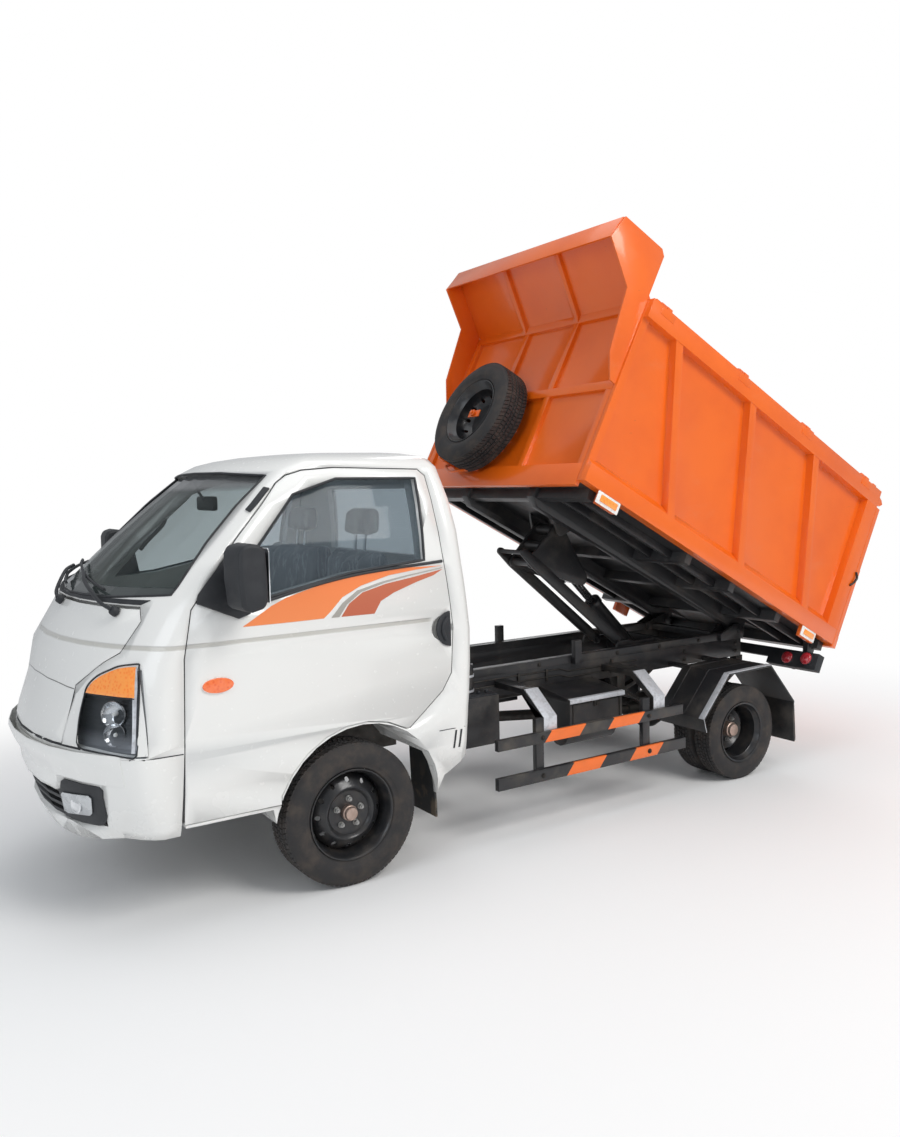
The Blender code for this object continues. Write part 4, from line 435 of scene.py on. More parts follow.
def guard_paint():
    """Black guard rails with orange warning marks, slanted and repeated along each rail."""
    coat = Coat("guard_paint", Coat_Weight=0.25, Coat_Roughness=0.2)
    x, y, z = coat.axes()
    upper = z.step(0.40, 0.402)
    slope = (z - (GUARD_RAILS[0] * upper + GUARD_RAILS[1] * (1 - upper))) * -GUARD_MARK_SLOPE
    place = x - slope
    marks = 0
    for low, high, level in (
            (-1.380, -1.146, 1), (-1.807, -1.580, 1), (-1.521, -1.292, 0), (-1.948, -1.740, 0)):
        band = place.within(low + AXLE_X, high + AXLE_X, 0.0008) * (upper if level else 1 - upper)
        marks = band + marks
    marks = marks * abs(y).step(0.8000, 0.8005)
    grime = coat.noise(8, 6).step(0.45, 0.78)
    black = coat.blend(grime * 0.5, tuple(colours().chassis), (0.13, 0.11, 0.085))
    orange = coat.blend(grime * 0.35, tuple(colours().stripe), (0.62, 0.15, 0.04))
    return coat.finish(
        Base_Color=coat.blend(marks, black, orange), Roughness=0.34 + grime * 0.3,
        Normal=coat.bump(coat.noise(160, 4) * 0.4 + marks * 0.3, 0.0010, 0.6))


def window_glass(name, tint, clear, band=False, haze=None):
    """Thin tinted glass: mostly clear, shinier at a glancing look, with a faint film of dust."""
    coat = Coat(name)
    dust = coat.noise(5, 5).step(0.5, 0.9) * 0.10
    clearness = coat.node("ShaderNodeBsdfTransparent", sockets={"Color": tint})
    film = (0.05, 0.06, 0.06)
    facing = coat.node("ShaderNodeLayerWeight", sockets={"Blend": 0.5}, output="Facing")
    share = facing.maths("POWER", facing, 4.0) * 0.75 + dust * 0.5 + (1 - clear)
    if band:
        y, z = coat.axes()[1:]
        edge = (z - 0.02 * (y * y)).within(1.408, 1.888, 0.003)
        side = (abs(y) + 0.305 * z).within(-1.0, 1.166, 0.003)
        # The sun band across the top of the screen is a real tint; its pale grey colour is a painted
        # reflection
        sun_band = (z - 0.02 * (y * y)).step(1.800, 1.835) * 0.6
        share = share + (1 - share) * sun_band
        share = (1 - edge * side) + share * (edge * side)
        film = coat.blend(sun_band * edge * side, film, (0.26, 0.26, 0.27))
    if haze:
        film = coat.blend(coat.noise(3, 4, (1, 1, 0.5)) * 0.5, haze, tuple(c * 0.6 for c in haze))
    gloss = coat.finish(Base_Color=film, Roughness=0.03 + dust)
    mixer = coat.tree.nodes.new("ShaderNodeMixShader")
    coat.set(mixer.inputs[0], share)
    coat.tree.links.new(clearness.socket, mixer.inputs[1])
    coat.tree.links.new(coat.shader.outputs[0], mixer.inputs[2])
    output = next(n for n in coat.tree.nodes if n.type == "OUTPUT_MATERIAL")
    coat.tree.links.new(mixer.outputs[0], output.inputs["Surface"])
    return gloss


def lens(name, colour, glow=0.0, alpha=1.0, ribs=260.0):
    """Moulded lamp lens with fine ribs, brighter where its prisms catch the light."""
    coat = Coat(name, Coat_Weight=0.9, Coat_Roughness=0.03)
    x, y = coat.axes()[:2]
    wave = (x * ribs + y * ribs).wave()
    cell = coat.node("ShaderNodeTexVoronoi", sockets={"Vector": coat.object, "Scale": 70.0})
    base = coat.blend(cell.step(0.1, 0.6) * 0.6, colour, tuple(min(1.0, c * 1.6 + 0.03) for c in colour))
    emission = {"Emission_Color": base} if glow else {}
    made = coat.finish(Base_Color=base, Roughness=0.10 + coat.noise(50, 2) * 0.06,
                       Normal=coat.bump(wave * 0.5 + cell, 0.0016, 0.6), **emission)
    coat.shader.inputs["Emission Strength"].default_value = glow
    coat.shader.inputs["Alpha"].default_value = alpha
    return made


def seat_cloth():
    """Woven grey seat cloth under the clear film that new seats wear, creased, with painted shade in the
    folds' hollows and painted highlights on the film's creases and streaks.
    """
    coat = Coat("seat_cloth", Coat_Weight=0.75, Coat_Roughness=0.12, Sheen_Weight=0.3)
    x, y = coat.axes()[:2]
    weave = (x * 900).wave() * (y * 900).wave()
    folds = coat.noise(13, 5, (1, 1, 0.22), 0.6)
    crease = folds.within(0.485, 0.515, 0.012)
    film_highlights = coat.noise(9, 4, (1.6, 1.6, 0.18), 0.6).step(0.56, 0.72)
    # Painted shade and highlights: the cloth is darker where the folds sink, and the film's creases and
    # streaks are painted pale as glints
    base = coat.blend(folds * 0.5, (0.075, 0.085, 0.095), (0.17, 0.19, 0.21))
    base = coat.blend(crease * 0.6 + film_highlights * 0.35, base, (0.52, 0.55, 0.58))
    return coat.finish(Base_Color=base, Roughness=0.62 - crease * 0.3,
                       Normal=coat.bump(weave * 0.05 + folds * 2.0, 0.006, 0.8))


def decal(name, colour, fade):
    """Printed film on the door, blending into a second tone towards its upper edge."""
    coat = Coat(name, Coat_Weight=0.4, Coat_Roughness=0.12)
    z = coat.axes()[2]
    base = coat.blend(z.step(1.24, 1.44) * 0.5 + coat.noise(5, 3) * 0.2, colour, fade)
    return coat.finish(Base_Color=base, Roughness=0.30 + coat.noise(60, 3) * 0.08,
                       Normal=coat.bump(coat.noise(300, 2), 0.0004, 0.4))


def mirror_glass():
    """Silvered glass with faint smears."""
    coat = Coat("mirror_glass")
    smear = coat.noise(12, 4).step(0.45, 0.8)
    return coat.finish(Base_Color=(0.80, 0.82, 0.84), Metallic=1.0, Roughness=0.03 + smear * 0.08)


def make_materials():
    """Makes every material once, under the name that the pieces ask for."""
    made = {
        "cab_paint": cab_paint(), "body_paint": body_paint(), "chassis_paint": chassis_paint(),
        "lamp_housing": lamp_housing(), "moulded_plastic": moulded_plastic(),
        "dash_plastic": dash_plastic(), "tyre_rubber": tyre_rubber(), "flap_rubber": flap_rubber(),
        "wheel_steel": wheel_steel(), "trim_strip": trim_strip(),
        "guard_paint": guard_paint(), "seat_cloth": seat_cloth(), "mirror_glass": mirror_glass(),
        "cast_iron": bright_metal("cast_iron", (0.070, 0.066, 0.062), 0.50, 0.25),
        "polished_steel": bright_metal("polished_steel", (0.72, 0.73, 0.75), 0.14),
        "nut_steel": bright_metal("nut_steel", (0.42, 0.42, 0.41), 0.34, 0.2),
        "stud_steel": bright_metal("stud_steel", (0.72, 0.52, 0.50), 0.30),
        "hub_metal": bright_metal("hub_metal", (0.55, 0.42, 0.36), 0.46, 0.4),
        "reflector": bright_metal("reflector", (0.86, 0.87, 0.89), 0.08),
        "screen_glass": window_glass("screen_glass", (0.86, 0.89, 0.885), 0.96, band=True),
        "side_glass": window_glass("side_glass", (0.80, 0.84, 0.86), 0.80, haze=(0.22, 0.26, 0.30)),
        "lamp_cover": window_glass("lamp_cover", (0.93, 0.94, 0.95), 0.96),
        "amber_lens": lens("amber_lens", (0.95, 0.23, 0.025), 0.12),
        "red_lens": lens("red_lens", (0.36, 0.012, 0.022), 0.02),
        "pale_lens": lens("pale_lens", (0.80, 0.78, 0.72)),
        "repeater_lens": lens("repeater_lens", (0.85, 0.13, 0.025), 0.04),
        "fog_housing": bright_metal("fog_housing", (0.62, 0.64, 0.66), 0.22),
        "swoosh_orange": decal("swoosh_orange", (0.92, 0.27, 0.085), (0.90, 0.21, 0.050)),
        "swoosh_brown": decal("swoosh_brown", (0.52, 0.125, 0.060), (0.60, 0.17, 0.085)),
        "swoosh_grey": decal("swoosh_grey", (0.36, 0.34, 0.31), (0.46, 0.44, 0.41)),
    }
    MATERIALS.update(made)


# Modelling, each call leaving one selected object

def fresh():
    """Leaves edit mode, picks nothing and goes back to picking by vertex."""
    if bpy.context.object and bpy.context.object.mode != "OBJECT":
        bpy.ops.object.mode_set(mode="OBJECT")
    bpy.ops.object.select_all(action="DESELECT")
    pick_by("VERT")


def pick_by(kind):
    """Sets what is picked in edit mode, so that faces or edges chosen in code stay chosen."""
    bpy.context.tool_settings.mesh_select_mode = [kind == each for each in ("VERT", "EDGE", "FACE")]


def only(piece):
    """Makes the piece the one that is selected and active."""
    fresh()
    piece.select_set(True)
    bpy.context.view_layer.objects.active = piece
    return piece


def named(name):
    """Names the active object and its mesh."""
    piece = bpy.context.object
    piece.name = name
    piece.data.name = name
    return piece


def apply_all(piece):
    """Applies the piece's modifiers in their order."""
    only(piece)
    for modifier in list(piece.modifiers):
        bpy.ops.object.modifier_apply(modifier=modifier.name)
    return piece


def polish(piece, edge=0.0, steps=2, angle=35):
    """Rounds the piece's sharp edges and shades it smooth between them."""
    if edge:
        bevel = piece.modifiers.new("edge", "BEVEL")
        bevel.width = edge
        bevel.segments = steps
        bevel.limit_method = "ANGLE"
        bevel.angle_limit = math.radians(angle)
        apply_all(piece)
    only(piece)
    bpy.ops.object.shade_smooth_by_angle(angle=SMOOTH_ANGLE)
    return piece


def block(name, low, high, edge=0.003):
    """A box between two corners, with rounded edges."""
    fresh()
    low, high = Vector(low), Vector(high)
    bpy.ops.mesh.primitive_cube_add(size=1, location=(low + high) / 2, scale=high - low)
    bpy.ops.object.transform_apply()
    return polish(named(name), edge)


def bar(name, start, end, radius, sides=24, edge=0.0015, end_radius=None):
    """A round or many-sided bar between two points, which may taper."""
    fresh()
    start, end = Vector(start), Vector(end)
    along = end - start
    turn = Vector((0, 0, 1)).rotation_difference(along).to_euler()
    bpy.ops.mesh.primitive_cone_add(
        vertices=sides, radius1=radius, radius2=radius if end_radius is None else end_radius,
        depth=along.length, location=(start + end) / 2, rotation=turn)
    bpy.ops.object.transform_apply()
    return polish(named(name), edge)


PLANES = {
    "X": lambda a, b, depth: (depth, a, b),
    "Y": lambda a, b, depth: (a, depth, b),
    "Z": lambda a, b, depth: (a, b, depth),
}


def flat(name, outline, across, depth=0.0):
    """A filled outline at one place along the axis across it."""
    fresh()
    bpy.ops.mesh.primitive_circle_add(vertices=len(outline), fill_type="NGON")
    piece = named(name)
    for vertex, (a, b) in zip(piece.data.vertices, outline):
        vertex.co = PLANES[across](a, b, depth)
    return piece


def slab(name, outline, across, low, high, edge=0.002):
    """A plate of an outline between two places along the axis across it."""
    piece = flat(name, outline, across, low)
    bpy.ops.object.mode_set(mode="EDIT")
    bpy.ops.mesh.select_all(action="SELECT")
    bpy.ops.mesh.extrude_region_move(TRANSFORM_OT_translate={"value": PLANES[across](0, 0, high - low)})
    bpy.ops.mesh.select_all(action="SELECT")
    bpy.ops.mesh.normals_make_consistent(inside=False)
    bpy.ops.object.mode_set(mode="OBJECT")
    return polish(piece, edge)


def spun(name, profile, centre, steps=72, closed=False, axis=(0, 1, 0)):
    """A profile of radius and place along an axis, spun about it, its ends on the axis unless closed."""
    fresh()
    bpy.ops.mesh.primitive_circle_add(vertices=len(profile), fill_type="NOTHING")
    piece = named(name)
    axis, centre = Vector(axis), Vector(centre)
    out = Vector((1, 0, 0)) if abs(axis.x) < 0.5 else Vector((0, 0, 1))
    out = (out - axis * out.dot(axis)).normalized()
    for vertex, (radius, along) in zip(piece.data.vertices, profile):
        vertex.co = centre + out * radius + axis * along
    bpy.ops.object.mode_set(mode="EDIT")
    if not closed:
        bpy.ops.mesh.select_all(action="DESELECT")
        bpy.ops.object.mode_set(mode="OBJECT")
        pick_by("EDGE")
        last = len(profile) - 1
        for edge in piece.data.edges:
            edge.select = set(edge.vertices) == {0, last}
        bpy.ops.object.mode_set(mode="EDIT")
        bpy.ops.mesh.delete(type="EDGE_FACE")
    bpy.ops.mesh.select_all(action="SELECT")
    bpy.ops.mesh.spin(steps=steps, angle=2 * math.pi, center=centre, axis=axis)
    bpy.ops.mesh.select_all(action="SELECT")
    bpy.ops.mesh.remove_doubles(threshold=WELD_GAP)
    bpy.ops.mesh.normals_make_consistent(inside=False)
    bpy.ops.object.mode_set(mode="OBJECT")
    return polish(piece)


def smooth_line(points, count=8):
    """Points on a soft curve through the given ones."""
    points = [Vector(p) for p in points]
    padded = [2 * points[0] - points[1], *points, 2 * points[-1] - points[-2]]
    result = []
    for a, b, c, d in zip(padded, padded[1:], padded[2:], padded[3:]):
        for i in range(count):
            t = i / count
            result.append(0.5 * ((2 * b) + (c - a) * t + (2 * a - 5 * b + 4 * c - d) * t * t
                                 + (3 * b - a - 3 * c + d) * t ** 3))
    return result + [points[-1]]


def tube(name, points, radius, sides=8, soft=0, closed=False):
    """A round line through the points, made a mesh."""
    fresh()
    if soft:
        points = smooth_line(points, soft)
    curve = bpy.data.curves.new(name, "CURVE")
    curve.dimensions = "3D"
    curve.bevel_depth = radius
    curve.bevel_resolution = max(0, sides // 2 - 2)
    curve.use_fill_caps = not closed
    spline = curve.splines.new("POLY")
    spline.points.add(len(points) - 1)
    for point, place in zip(spline.points, points):
        point.co = (*place, 1.0)
    spline.use_cyclic_u = closed
    piece = bpy.data.objects.new(name, curve)
    bpy.context.collection.objects.link(piece)
    only(piece)
    bpy.ops.object.convert(target="MESH")
    return polish(named(name))


def joined(name, pieces):
    """The pieces as one, under a name."""
    only(pieces[0])
    for piece in pieces[1:]:
        piece.select_set(True)
    if len(pieces) > 1:
        bpy.ops.object.join()
    return named(name)


def repeated(piece, places, name):
    """Copies of a piece at each shift, joined into one."""
    made = []
    for place in places:
        twin = piece.copy()
        twin.data = piece.data.copy()
        twin.data.transform(place if isinstance(place, Matrix) else Matrix.Translation(place))
        bpy.context.collection.objects.link(twin)
        made.append(twin)
    bpy.data.objects.remove(piece)
    return joined(name, made)


def mirrored(piece, name):
    """The right-hand twin of a left-hand piece, before either is put in its place."""
    twin = piece.copy()
    twin.data = piece.data.copy()
    twin.data.transform(Matrix.Diagonal((1, -1, 1, 1)))
    twin.data.flip_normals()
    twin.name = name
    twin.data.name = name
    bpy.context.collection.objects.link(twin)
    return twin


def put(piece, body, finish, space=TO_WORLD):
    """Moves a finished piece to its place, gives it its material and fixes it to a body."""
    piece.data.transform(space)
    piece.data.materials.clear()
    piece.data.materials.append(MATERIALS[finish])
    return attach(piece, body)


def put_pair(piece, body, finish, space=TO_WORLD):
    """Puts a left-hand piece and its twin. A body's name may hold the word left."""
    other_name = piece.name.replace("left", "right") if "left" in piece.name else piece.name + "_right"
    other = mirrored(piece, other_name)
    put(other, body.replace("left", "right"), finish, space)
    return put(piece, body, finish, space), other


def form():
    """The cab's smooth outer form, a helper on which trim is laid."""
    if "cab_form" in bpy.data.objects:
        return bpy.data.objects["cab_form"]
    rings = []
    for height, nose, half, rear, drop in CAB_LEVELS:
        side_x = nose - drop - min(0.20, 0.6 * (nose - drop - rear - 0.05))
        left = []
        for step in FRONT_STEPS:
            face = nose - drop * step ** 2.2
            rounding = (1 - step ** 10.0) ** 0.1
            left.append((side_x + (face - side_x) * rounding, half * step))
        left += [(side_x, half), (rear + 0.05, half), (rear + 0.0145, half - 0.0145), (rear, half - 0.05)]
        rings.append([(x, y, height) for x, y in left + [(x, -y) for x, y in reversed(left) if y > 0]])
    count = len(rings[0])
    vertices = [point for ring in rings for point in ring]
    faces = []
    for level in range(len(rings) - 1):
        for i in range(count):
            j = (i + 1) % count
            low, high = level * count, (level + 1) * count
            faces.append((low + i, low + j, high + j, high + i))
    mesh = bpy.data.meshes.new("cab_form")
    mesh.from_pydata(vertices, [], faces)
    made = bpy.data.objects.new("cab_form", mesh)
    bpy.context.collection.objects.link(made)
    bpy.context.view_layer.update()
    return made


def on_cab(a, b, way, out=0.0):
    """The place on the cab's left side at x and z, or on its front at y and z, and a step out from it."""
    origin, direction = ((a, 3.0, b), (0, -1, 0)) if way == "side" else ((3.0, a, b), (-1, 0, 0))
    found, place, normal, _ = form().ray_cast(Vector(origin), Vector(direction))
    if not found:
        raise RuntimeError("no cab surface at %.3f, %.3f" % (a, b))
    if normal.dot(Vector(direction)) > 0:
        normal = -normal
    return place + normal * out


def laid(name, outline, way, thickness=0.0015, grid=0.05, lift=0.0004, edge=0.0):
    """A sheet of an outline that hugs the cab's side or front, with its thickness outwards."""
    across = "Y" if way == "side" else "X"
    piece = flat(name, outline, across)
    lows = [min(p[i] for p in outline) for i in (0, 1)]
    highs = [max(p[i] for p in outline) for i in (0, 1)]
    bpy.ops.object.mode_set(mode="EDIT")
    for i in (0, 1):
        normal = PLANES[across](1 - i, i, 0)
        place = lows[i] + grid
        while place < highs[i]:
            bpy.ops.mesh.select_all(action="SELECT")
            bpy.ops.mesh.bisect(plane_co=Vector(normal) * place, plane_no=normal)
            place += grid
    bpy.ops.object.mode_set(mode="OBJECT")
    pick = (0, 2) if way == "side" else (1, 2)
    for vertex in piece.data.vertices:
        vertex.co = on_cab(vertex.co[pick[0]], vertex.co[pick[1]], way, lift)
    only(piece)
    bpy.ops.object.mode_set(mode="EDIT")
    bpy.ops.mesh.select_all(action="SELECT")
    bpy.ops.mesh.normals_make_consistent(inside=False)
    bpy.ops.object.mode_set(mode="OBJECT")
    middle = piece.data.polygons[0]
    outward = middle.normal.y if way == "side" else middle.normal.x
    if outward < 0:
        piece.data.flip_normals()
    wall = piece.modifiers.new("wall", "SOLIDIFY")
    wall.thickness = thickness
    wall.offset = 1.0
    apply_all(piece)
    return polish(piece, edge)


def widened(outline, by):
    """The outline with every side moved outwards by a distance."""
    turn = sum(a[0] * b[1] - b[0] * a[1] for a, b in zip(outline, outline[1:] + outline[:1]))
    turn = 1 if turn > 0 else -1
    result = []
    for i, (x, z) in enumerate(outline):
        before, after = Vector(outline[i - 1]), Vector(outline[(i + 1) % len(outline)])
        first, second = (Vector((x, z)) - before).normalized(), (after - Vector((x, z))).normalized()
        way = Vector((first.y + second.y, -first.x - second.x)).normalized() * turn
        share = max(0.5, Vector((first.y, -first.x)).dot(way) * turn)
        result.append((x + way.x * by / share, z + way.y * by / share))
    return result


def rim_line(outline, way, out=0.0, step=0.03):
    """Points along a closed outline, laid on the cab."""
    points = []
    for (a0, b0), (a1, b1) in zip(outline, outline[1:] + outline[:1]):
        count = max(1, round(math.hypot(a1 - a0, b1 - b0) / step))
        for i in range(count):
            t = i / count
            points.append(on_cab(a0 + (a1 - a0) * t, b0 + (b1 - b0) * t, way, out))
    return points


def ellipse(centre, half, count=28):
    """Points round an ellipse."""
    return [(centre[0] + half[0] * math.cos(2 * math.pi * i / count),
             centre[1] + half[1] * math.sin(2 * math.pi * i / count)) for i in range(count)]


def dressed(node, finish, edge=0.0, angle=35):
    """A welded, smooth-shaded copy of a CAD node with softened edges, which stands for the node."""
    source = NODES[node]
    piece = bpy.data.objects.new(node + "_skin", source.data.copy())
    bpy.context.collection.objects.link(piece)
    body = next(b for b, members in frame["record"]["behaviour"]["bodies"].items() if node in members)
    only(piece)
    bpy.ops.object.mode_set(mode="EDIT")
    bpy.ops.mesh.select_all(action="SELECT")
    bpy.ops.mesh.remove_doubles(threshold=WELD_GAP)
    if edge:
        bpy.ops.mesh.dissolve_limited(angle_limit=math.radians(0.8))
    bpy.ops.object.mode_set(mode="OBJECT")
    piece.data.materials.clear()
    piece.data.materials.append(MATERIALS[finish])
    polish(piece, edge, angle=angle)
    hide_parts(node)
    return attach(piece, body)


def painted(node, finish):
    """A CAD node that is shown as it is, with its material set."""
    mesh = NODES[node].data
    if not mesh.materials:
        mesh.materials.append(None)
    for i in range(len(mesh.materials)):
        mesh.materials[i] = MATERIALS[finish]


class StudioOperator(bpy.types.Operator):
    """Adds the pale floor, the soft lights, the white surroundings and the camera."""

    bl_idname = "truck.studio"
    bl_label = "Studio"

    def execute(self, context):
        """Sets the picture's tone and builds floor, surroundings, lights and camera."""
        scene = context.scene
        scene.view_settings.view_transform = "Standard"
        self.floor()
        self.surroundings(scene)
        self.lights()
        self.camera(scene)
        fresh()
        return {"FINISHED"}

    def floor(self):
        """A pale floor that fades to white away from the truck and keeps its shadow."""
        fresh()
        bpy.ops.mesh.primitive_grid_add(x_subdivisions=12, y_subdivisions=12, size=60)
        floor = named("studio_floor")
        coat = Coat("studio_floor")
        x, y = coat.axes()[:2]
        reach = ((x * x + y * y * 1.6) / 9.0).step(0.6, 3.2)
        grain = coat.noise(30, 4)
        coat.finish(Base_Color=coat.blend(grain * 0.05, (0.93, 0.93, 0.93), (0.88, 0.88, 0.88)),
                    Roughness=0.85 + grain * 0.1, Normal=coat.bump(grain, 0.0005, 0.3))
        glow = coat.node("ShaderNodeEmission", sockets={"Color": (1, 1, 1, 1), "Strength": 1.0})
        paths = coat.node("ShaderNodeLightPath", output="Is Camera Ray")
        mixer = coat.tree.nodes.new("ShaderNodeMixShader")
        coat.set(mixer.inputs[0], reach * paths)
        coat.tree.links.new(coat.shader.outputs[0], mixer.inputs[1])
        coat.tree.links.new(glow.socket, mixer.inputs[2])
        output = next(n for n in coat.tree.nodes if n.type == "OUTPUT_MATERIAL")
        coat.tree.links.new(mixer.outputs[0], output.inputs["Surface"])
        floor.data.materials.append(coat.material)

    def surroundings(self, scene):
        """A soft even light from all round, shown to the camera as white."""
        world = bpy.data.worlds.new("studio")
        world.use_nodes = True
        scene.world = world
        tree = world.node_tree
        lit = tree.nodes["Background"]
        lit.inputs["Color"].default_value = (0.93, 0.96, 1.0, 1)
        lit.inputs["Strength"].default_value = 0.46
        shown = tree.nodes.new("ShaderNodeBackground")
        shown.inputs["Color"].default_value = (1, 1, 1, 1)
        paths = tree.nodes.new("ShaderNodeLightPath")
        most = tree.nodes.new("ShaderNodeMath")
        most.operation = "MAXIMUM"
        tree.links.new(paths.outputs["Is Camera Ray"], most.inputs[0])
        tree.links.new(paths.outputs["Is Transmission Ray"], most.inputs[1])
        mixer = tree.nodes.new("ShaderNodeMixShader")
        tree.links.new(most.outputs[0], mixer.inputs[0])
        tree.links.new(lit.outputs[0], mixer.inputs[1])
        tree.links.new(shown.outputs[0], mixer.inputs[2])
        tree.links.new(mixer.outputs[0], tree.nodes["World Output"].inputs["Surface"])

    def lights(self):
        """Four large soft lights, from the left, the front, behind and above."""
        for name, place, target, size, power, colour in (
                ("key_light", (-1.5, 7.5, 7.0), (0.0, 0.0, 1.0), 4.0, 430, (1.0, 0.98, 0.95)),
                ("nose_light", (7.5, 3.0, 4.0), (1.5, 0.0, 1.0), 4.0, 95, (0.90, 0.95, 1.0)),
                ("back_light", (-6.0, -5.0, 5.0), (-0.5, 0.0, 1.2), 5.0, 170, (1.0, 1.0, 1.0)),
                ("top_light", (0.0, 0.0, 8.0), (0.0, 0.0, 0.0), 6.0, 130, (1.0, 1.0, 1.0))):
            fresh()
            bpy.ops.object.light_add(type="AREA", location=place)
            lamp = bpy.context.object
            lamp.name = name
            lamp.data.size = size
            lamp.data.energy = power
            lamp.data.color = colour
            way = Vector(target) - Vector(place)
            lamp.rotation_euler = way.to_track_quat("-Z", "Y").to_euler()

    def camera(self, scene):
        """The camera at the photograph's viewpoint."""
        fresh()
        bpy.ops.object.camera_add(location=CAMERA_PLACE)
        camera = bpy.context.object
        yaw, pitch, roll = CAMERA_YAW, CAMERA_PITCH, CAMERA_ROLL
        ahead = Vector((-math.sin(yaw) * math.cos(pitch), -math.cos(yaw) * math.cos(pitch), -math.sin(pitch)))
        right = Vector((-math.cos(yaw), math.sin(yaw), 0.0))
        up = right.cross(ahead)
        turned = math.cos(roll) * right + math.sin(roll) * up
        upward = -math.sin(roll) * right + math.cos(roll) * up
        matrix = Matrix((turned, upward, -ahead)).transposed().to_4x4()
        camera.matrix_world = Matrix.Translation(camera.location) @ matrix
        camera.data.lens = FOCAL_PIXELS / PICTURE_HEIGHT * SENSOR
        camera.data.sensor_width = SENSOR
        camera.data.shift_y = SHIFT_PIXELS / PICTURE_HEIGHT
        scene.camera = camera


class CabOperator(bpy.types.Operator):
    """Dresses the cab's painted panels, its glass, seals and inside."""

    bl_idname = "truck.cab"
    bl_label = "Cab"

    def execute(self, context):
        """Dresses the cab's panels, glass, seams and inside."""
        for node in ("cab_shell", "door_left", "door_right", "bonnet", "front_bumper"):
            dressed(node, "cab_paint")
        painted("windscreen", "screen_glass")
        for node in ("rear_window", "door_glass_left", "door_glass_right"):
            painted(node, "side_glass")
        dressed("dashboard", "dash_plastic", 0.004)
        self.seals()
        self.stripes()
        self.small_trim()
        self.inside()
        fresh()
        return {"FINISHED"}

    def seals(self):
        """Seals round the glass, and black lines as painted shadow in the shut lines of door, bonnet and
        bumper.
        """
        put(tube("screen_seal", rim_line(SCREEN_OUTLINE, "front", 0.0), 0.0060, 8, closed=True),
            "chassis", "moulded_plastic")
        put_pair(tube("window_seal_left", rim_line(WINDOW_OUTLINE, "side", 0.0), 0.0065, 8, closed=True),
                 "left_door", "moulded_plastic")
        # Painted shadow: a black line laid deep in the door's shut line, for the shade in the gap
        gap = rim_line(widened(DOOR_OUTLINE, PANEL_GAP / 2), "side", -0.0035)
        last = DOOR_OUTLINE[-1]
        end = min(range(len(gap)), key=lambda i: abs(gap[i].x - last[0]) + abs(gap[i].z - last[1]))
        self.line("door_gasket_left", gap[:end + 1], 0.0024, 6)
        # Painted shadow: black lines in the shut lines above the bumper at the side and under the bonnet at
        # the front
        line = [on_cab(x, 0.757, "side", -0.0008) for x in (0.775, 0.83, 0.88, 0.93, 0.98)]
        self.line("bumper_line_left", line, 0.0026, 6)
        shadow = [on_cab(y, 0.7775, "front", -0.0010) for y in (0.60, 0.52, 0.40, 0.26, 0.12, 0.0)]
        self.line("bonnet_line_left", shadow, 0.0046, 8)
        self.bumper_ledge()
        # Painted shadow: a black line in the bonnet's shut line beside the headlamp, for the shade in the gap
        nose = [on_cab(y, z, "front", -0.0030) for y, z in (
            (0.4725, 0.785), (0.4725, 0.90), (0.4725, 1.018), (0.58, 1.094), (0.683, 1.168), (0.693, 1.23),
            (0.703, 1.291))]
        self.line("bonnet_gasket_left", nose, 0.0024, 6)
        belt = [on_cab(x, z, "side", 0.002) for x, z in (
            (-0.500, 1.458), (-0.405, 1.452), (-0.2, 1.440), (-0.016, 1.424), (0.18, 1.393), (0.364, 1.353),
            (0.45, 1.338))]
        self.line("belt_strip_left", belt, 0.007, 8, "left_door", 4)

    def line(self, name, points, radius, sides, body="chassis", soft=0):
        """A pair of thin black lines along the cab, for seals, strips and the shadow in shut lines."""
        put_pair(tube(name, points, radius, sides, soft), body, "moulded_plastic")

    def bumper_ledge(self):
        """The bumper's upper edge, which stands out from the nose and fades down and round into its side."""
        half, low, high, climb, stand = 0.79, 0.640, 0.770, 0.105, 0.030
        outline = [(-half, low), (half, low), (half, high), (-half, high)]
        ledge = laid("bumper_ledge", outline, "front", 0.002, 0.026, 0.0)
        for vertex in ledge.data.vertices:
            fade = max(0.0, 1 - (abs(vertex.co.y) / half) ** 3)
            rise = min(1.0, max(0.0, (vertex.co.z - low) / climb))
            vertex.co.x += stand * fade * rise * rise * (3 - 2 * rise)
        solid = ledge.modifiers.new("solid", "SOLIDIFY")
        solid.thickness = 0.004
        apply_all(ledge)
        put(polish(ledge), "chassis", "cab_paint")

    def stripes(self):
        """The three coloured bands on the door."""
        orange = [(0.503, 1.249), (0.320, 1.248), (0.131, 1.249), (0.093, 1.279), (0.035, 1.333),
                  (-0.061, 1.377), (-0.209, 1.413), (-0.362, 1.429), (-0.498, 1.438), (-0.260, 1.441),
                  (-0.063, 1.427), (0.079, 1.408), (0.190, 1.382), (0.298, 1.354), (0.369, 1.325),
                  (0.430, 1.290)]
        grey = [(0.095, 1.248), (0.036, 1.308), (-0.041, 1.357), (-0.169, 1.387), (-0.310, 1.408),
                (-0.498, 1.430), (-0.498, 1.426), (-0.313, 1.402), (-0.180, 1.380), (-0.058, 1.348),
                (0.014, 1.300), (0.056, 1.248)]
        brown = [(0.046, 1.248), (0.004, 1.302), (-0.066, 1.346), (-0.190, 1.376), (-0.345, 1.397),
                 (-0.498, 1.421), (-0.445, 1.396), (-0.350, 1.372), (-0.227, 1.333), (-0.156, 1.300),
                 (-0.120, 1.247)]
        for name, outline in (("orange", orange), ("grey", grey), ("brown", brown)):
            piece = laid("swoosh_%s_left" % name, outline, "side", 0.0006, 0.05, 0.0008)
            put_pair(piece, "left_door", "swoosh_" + name)

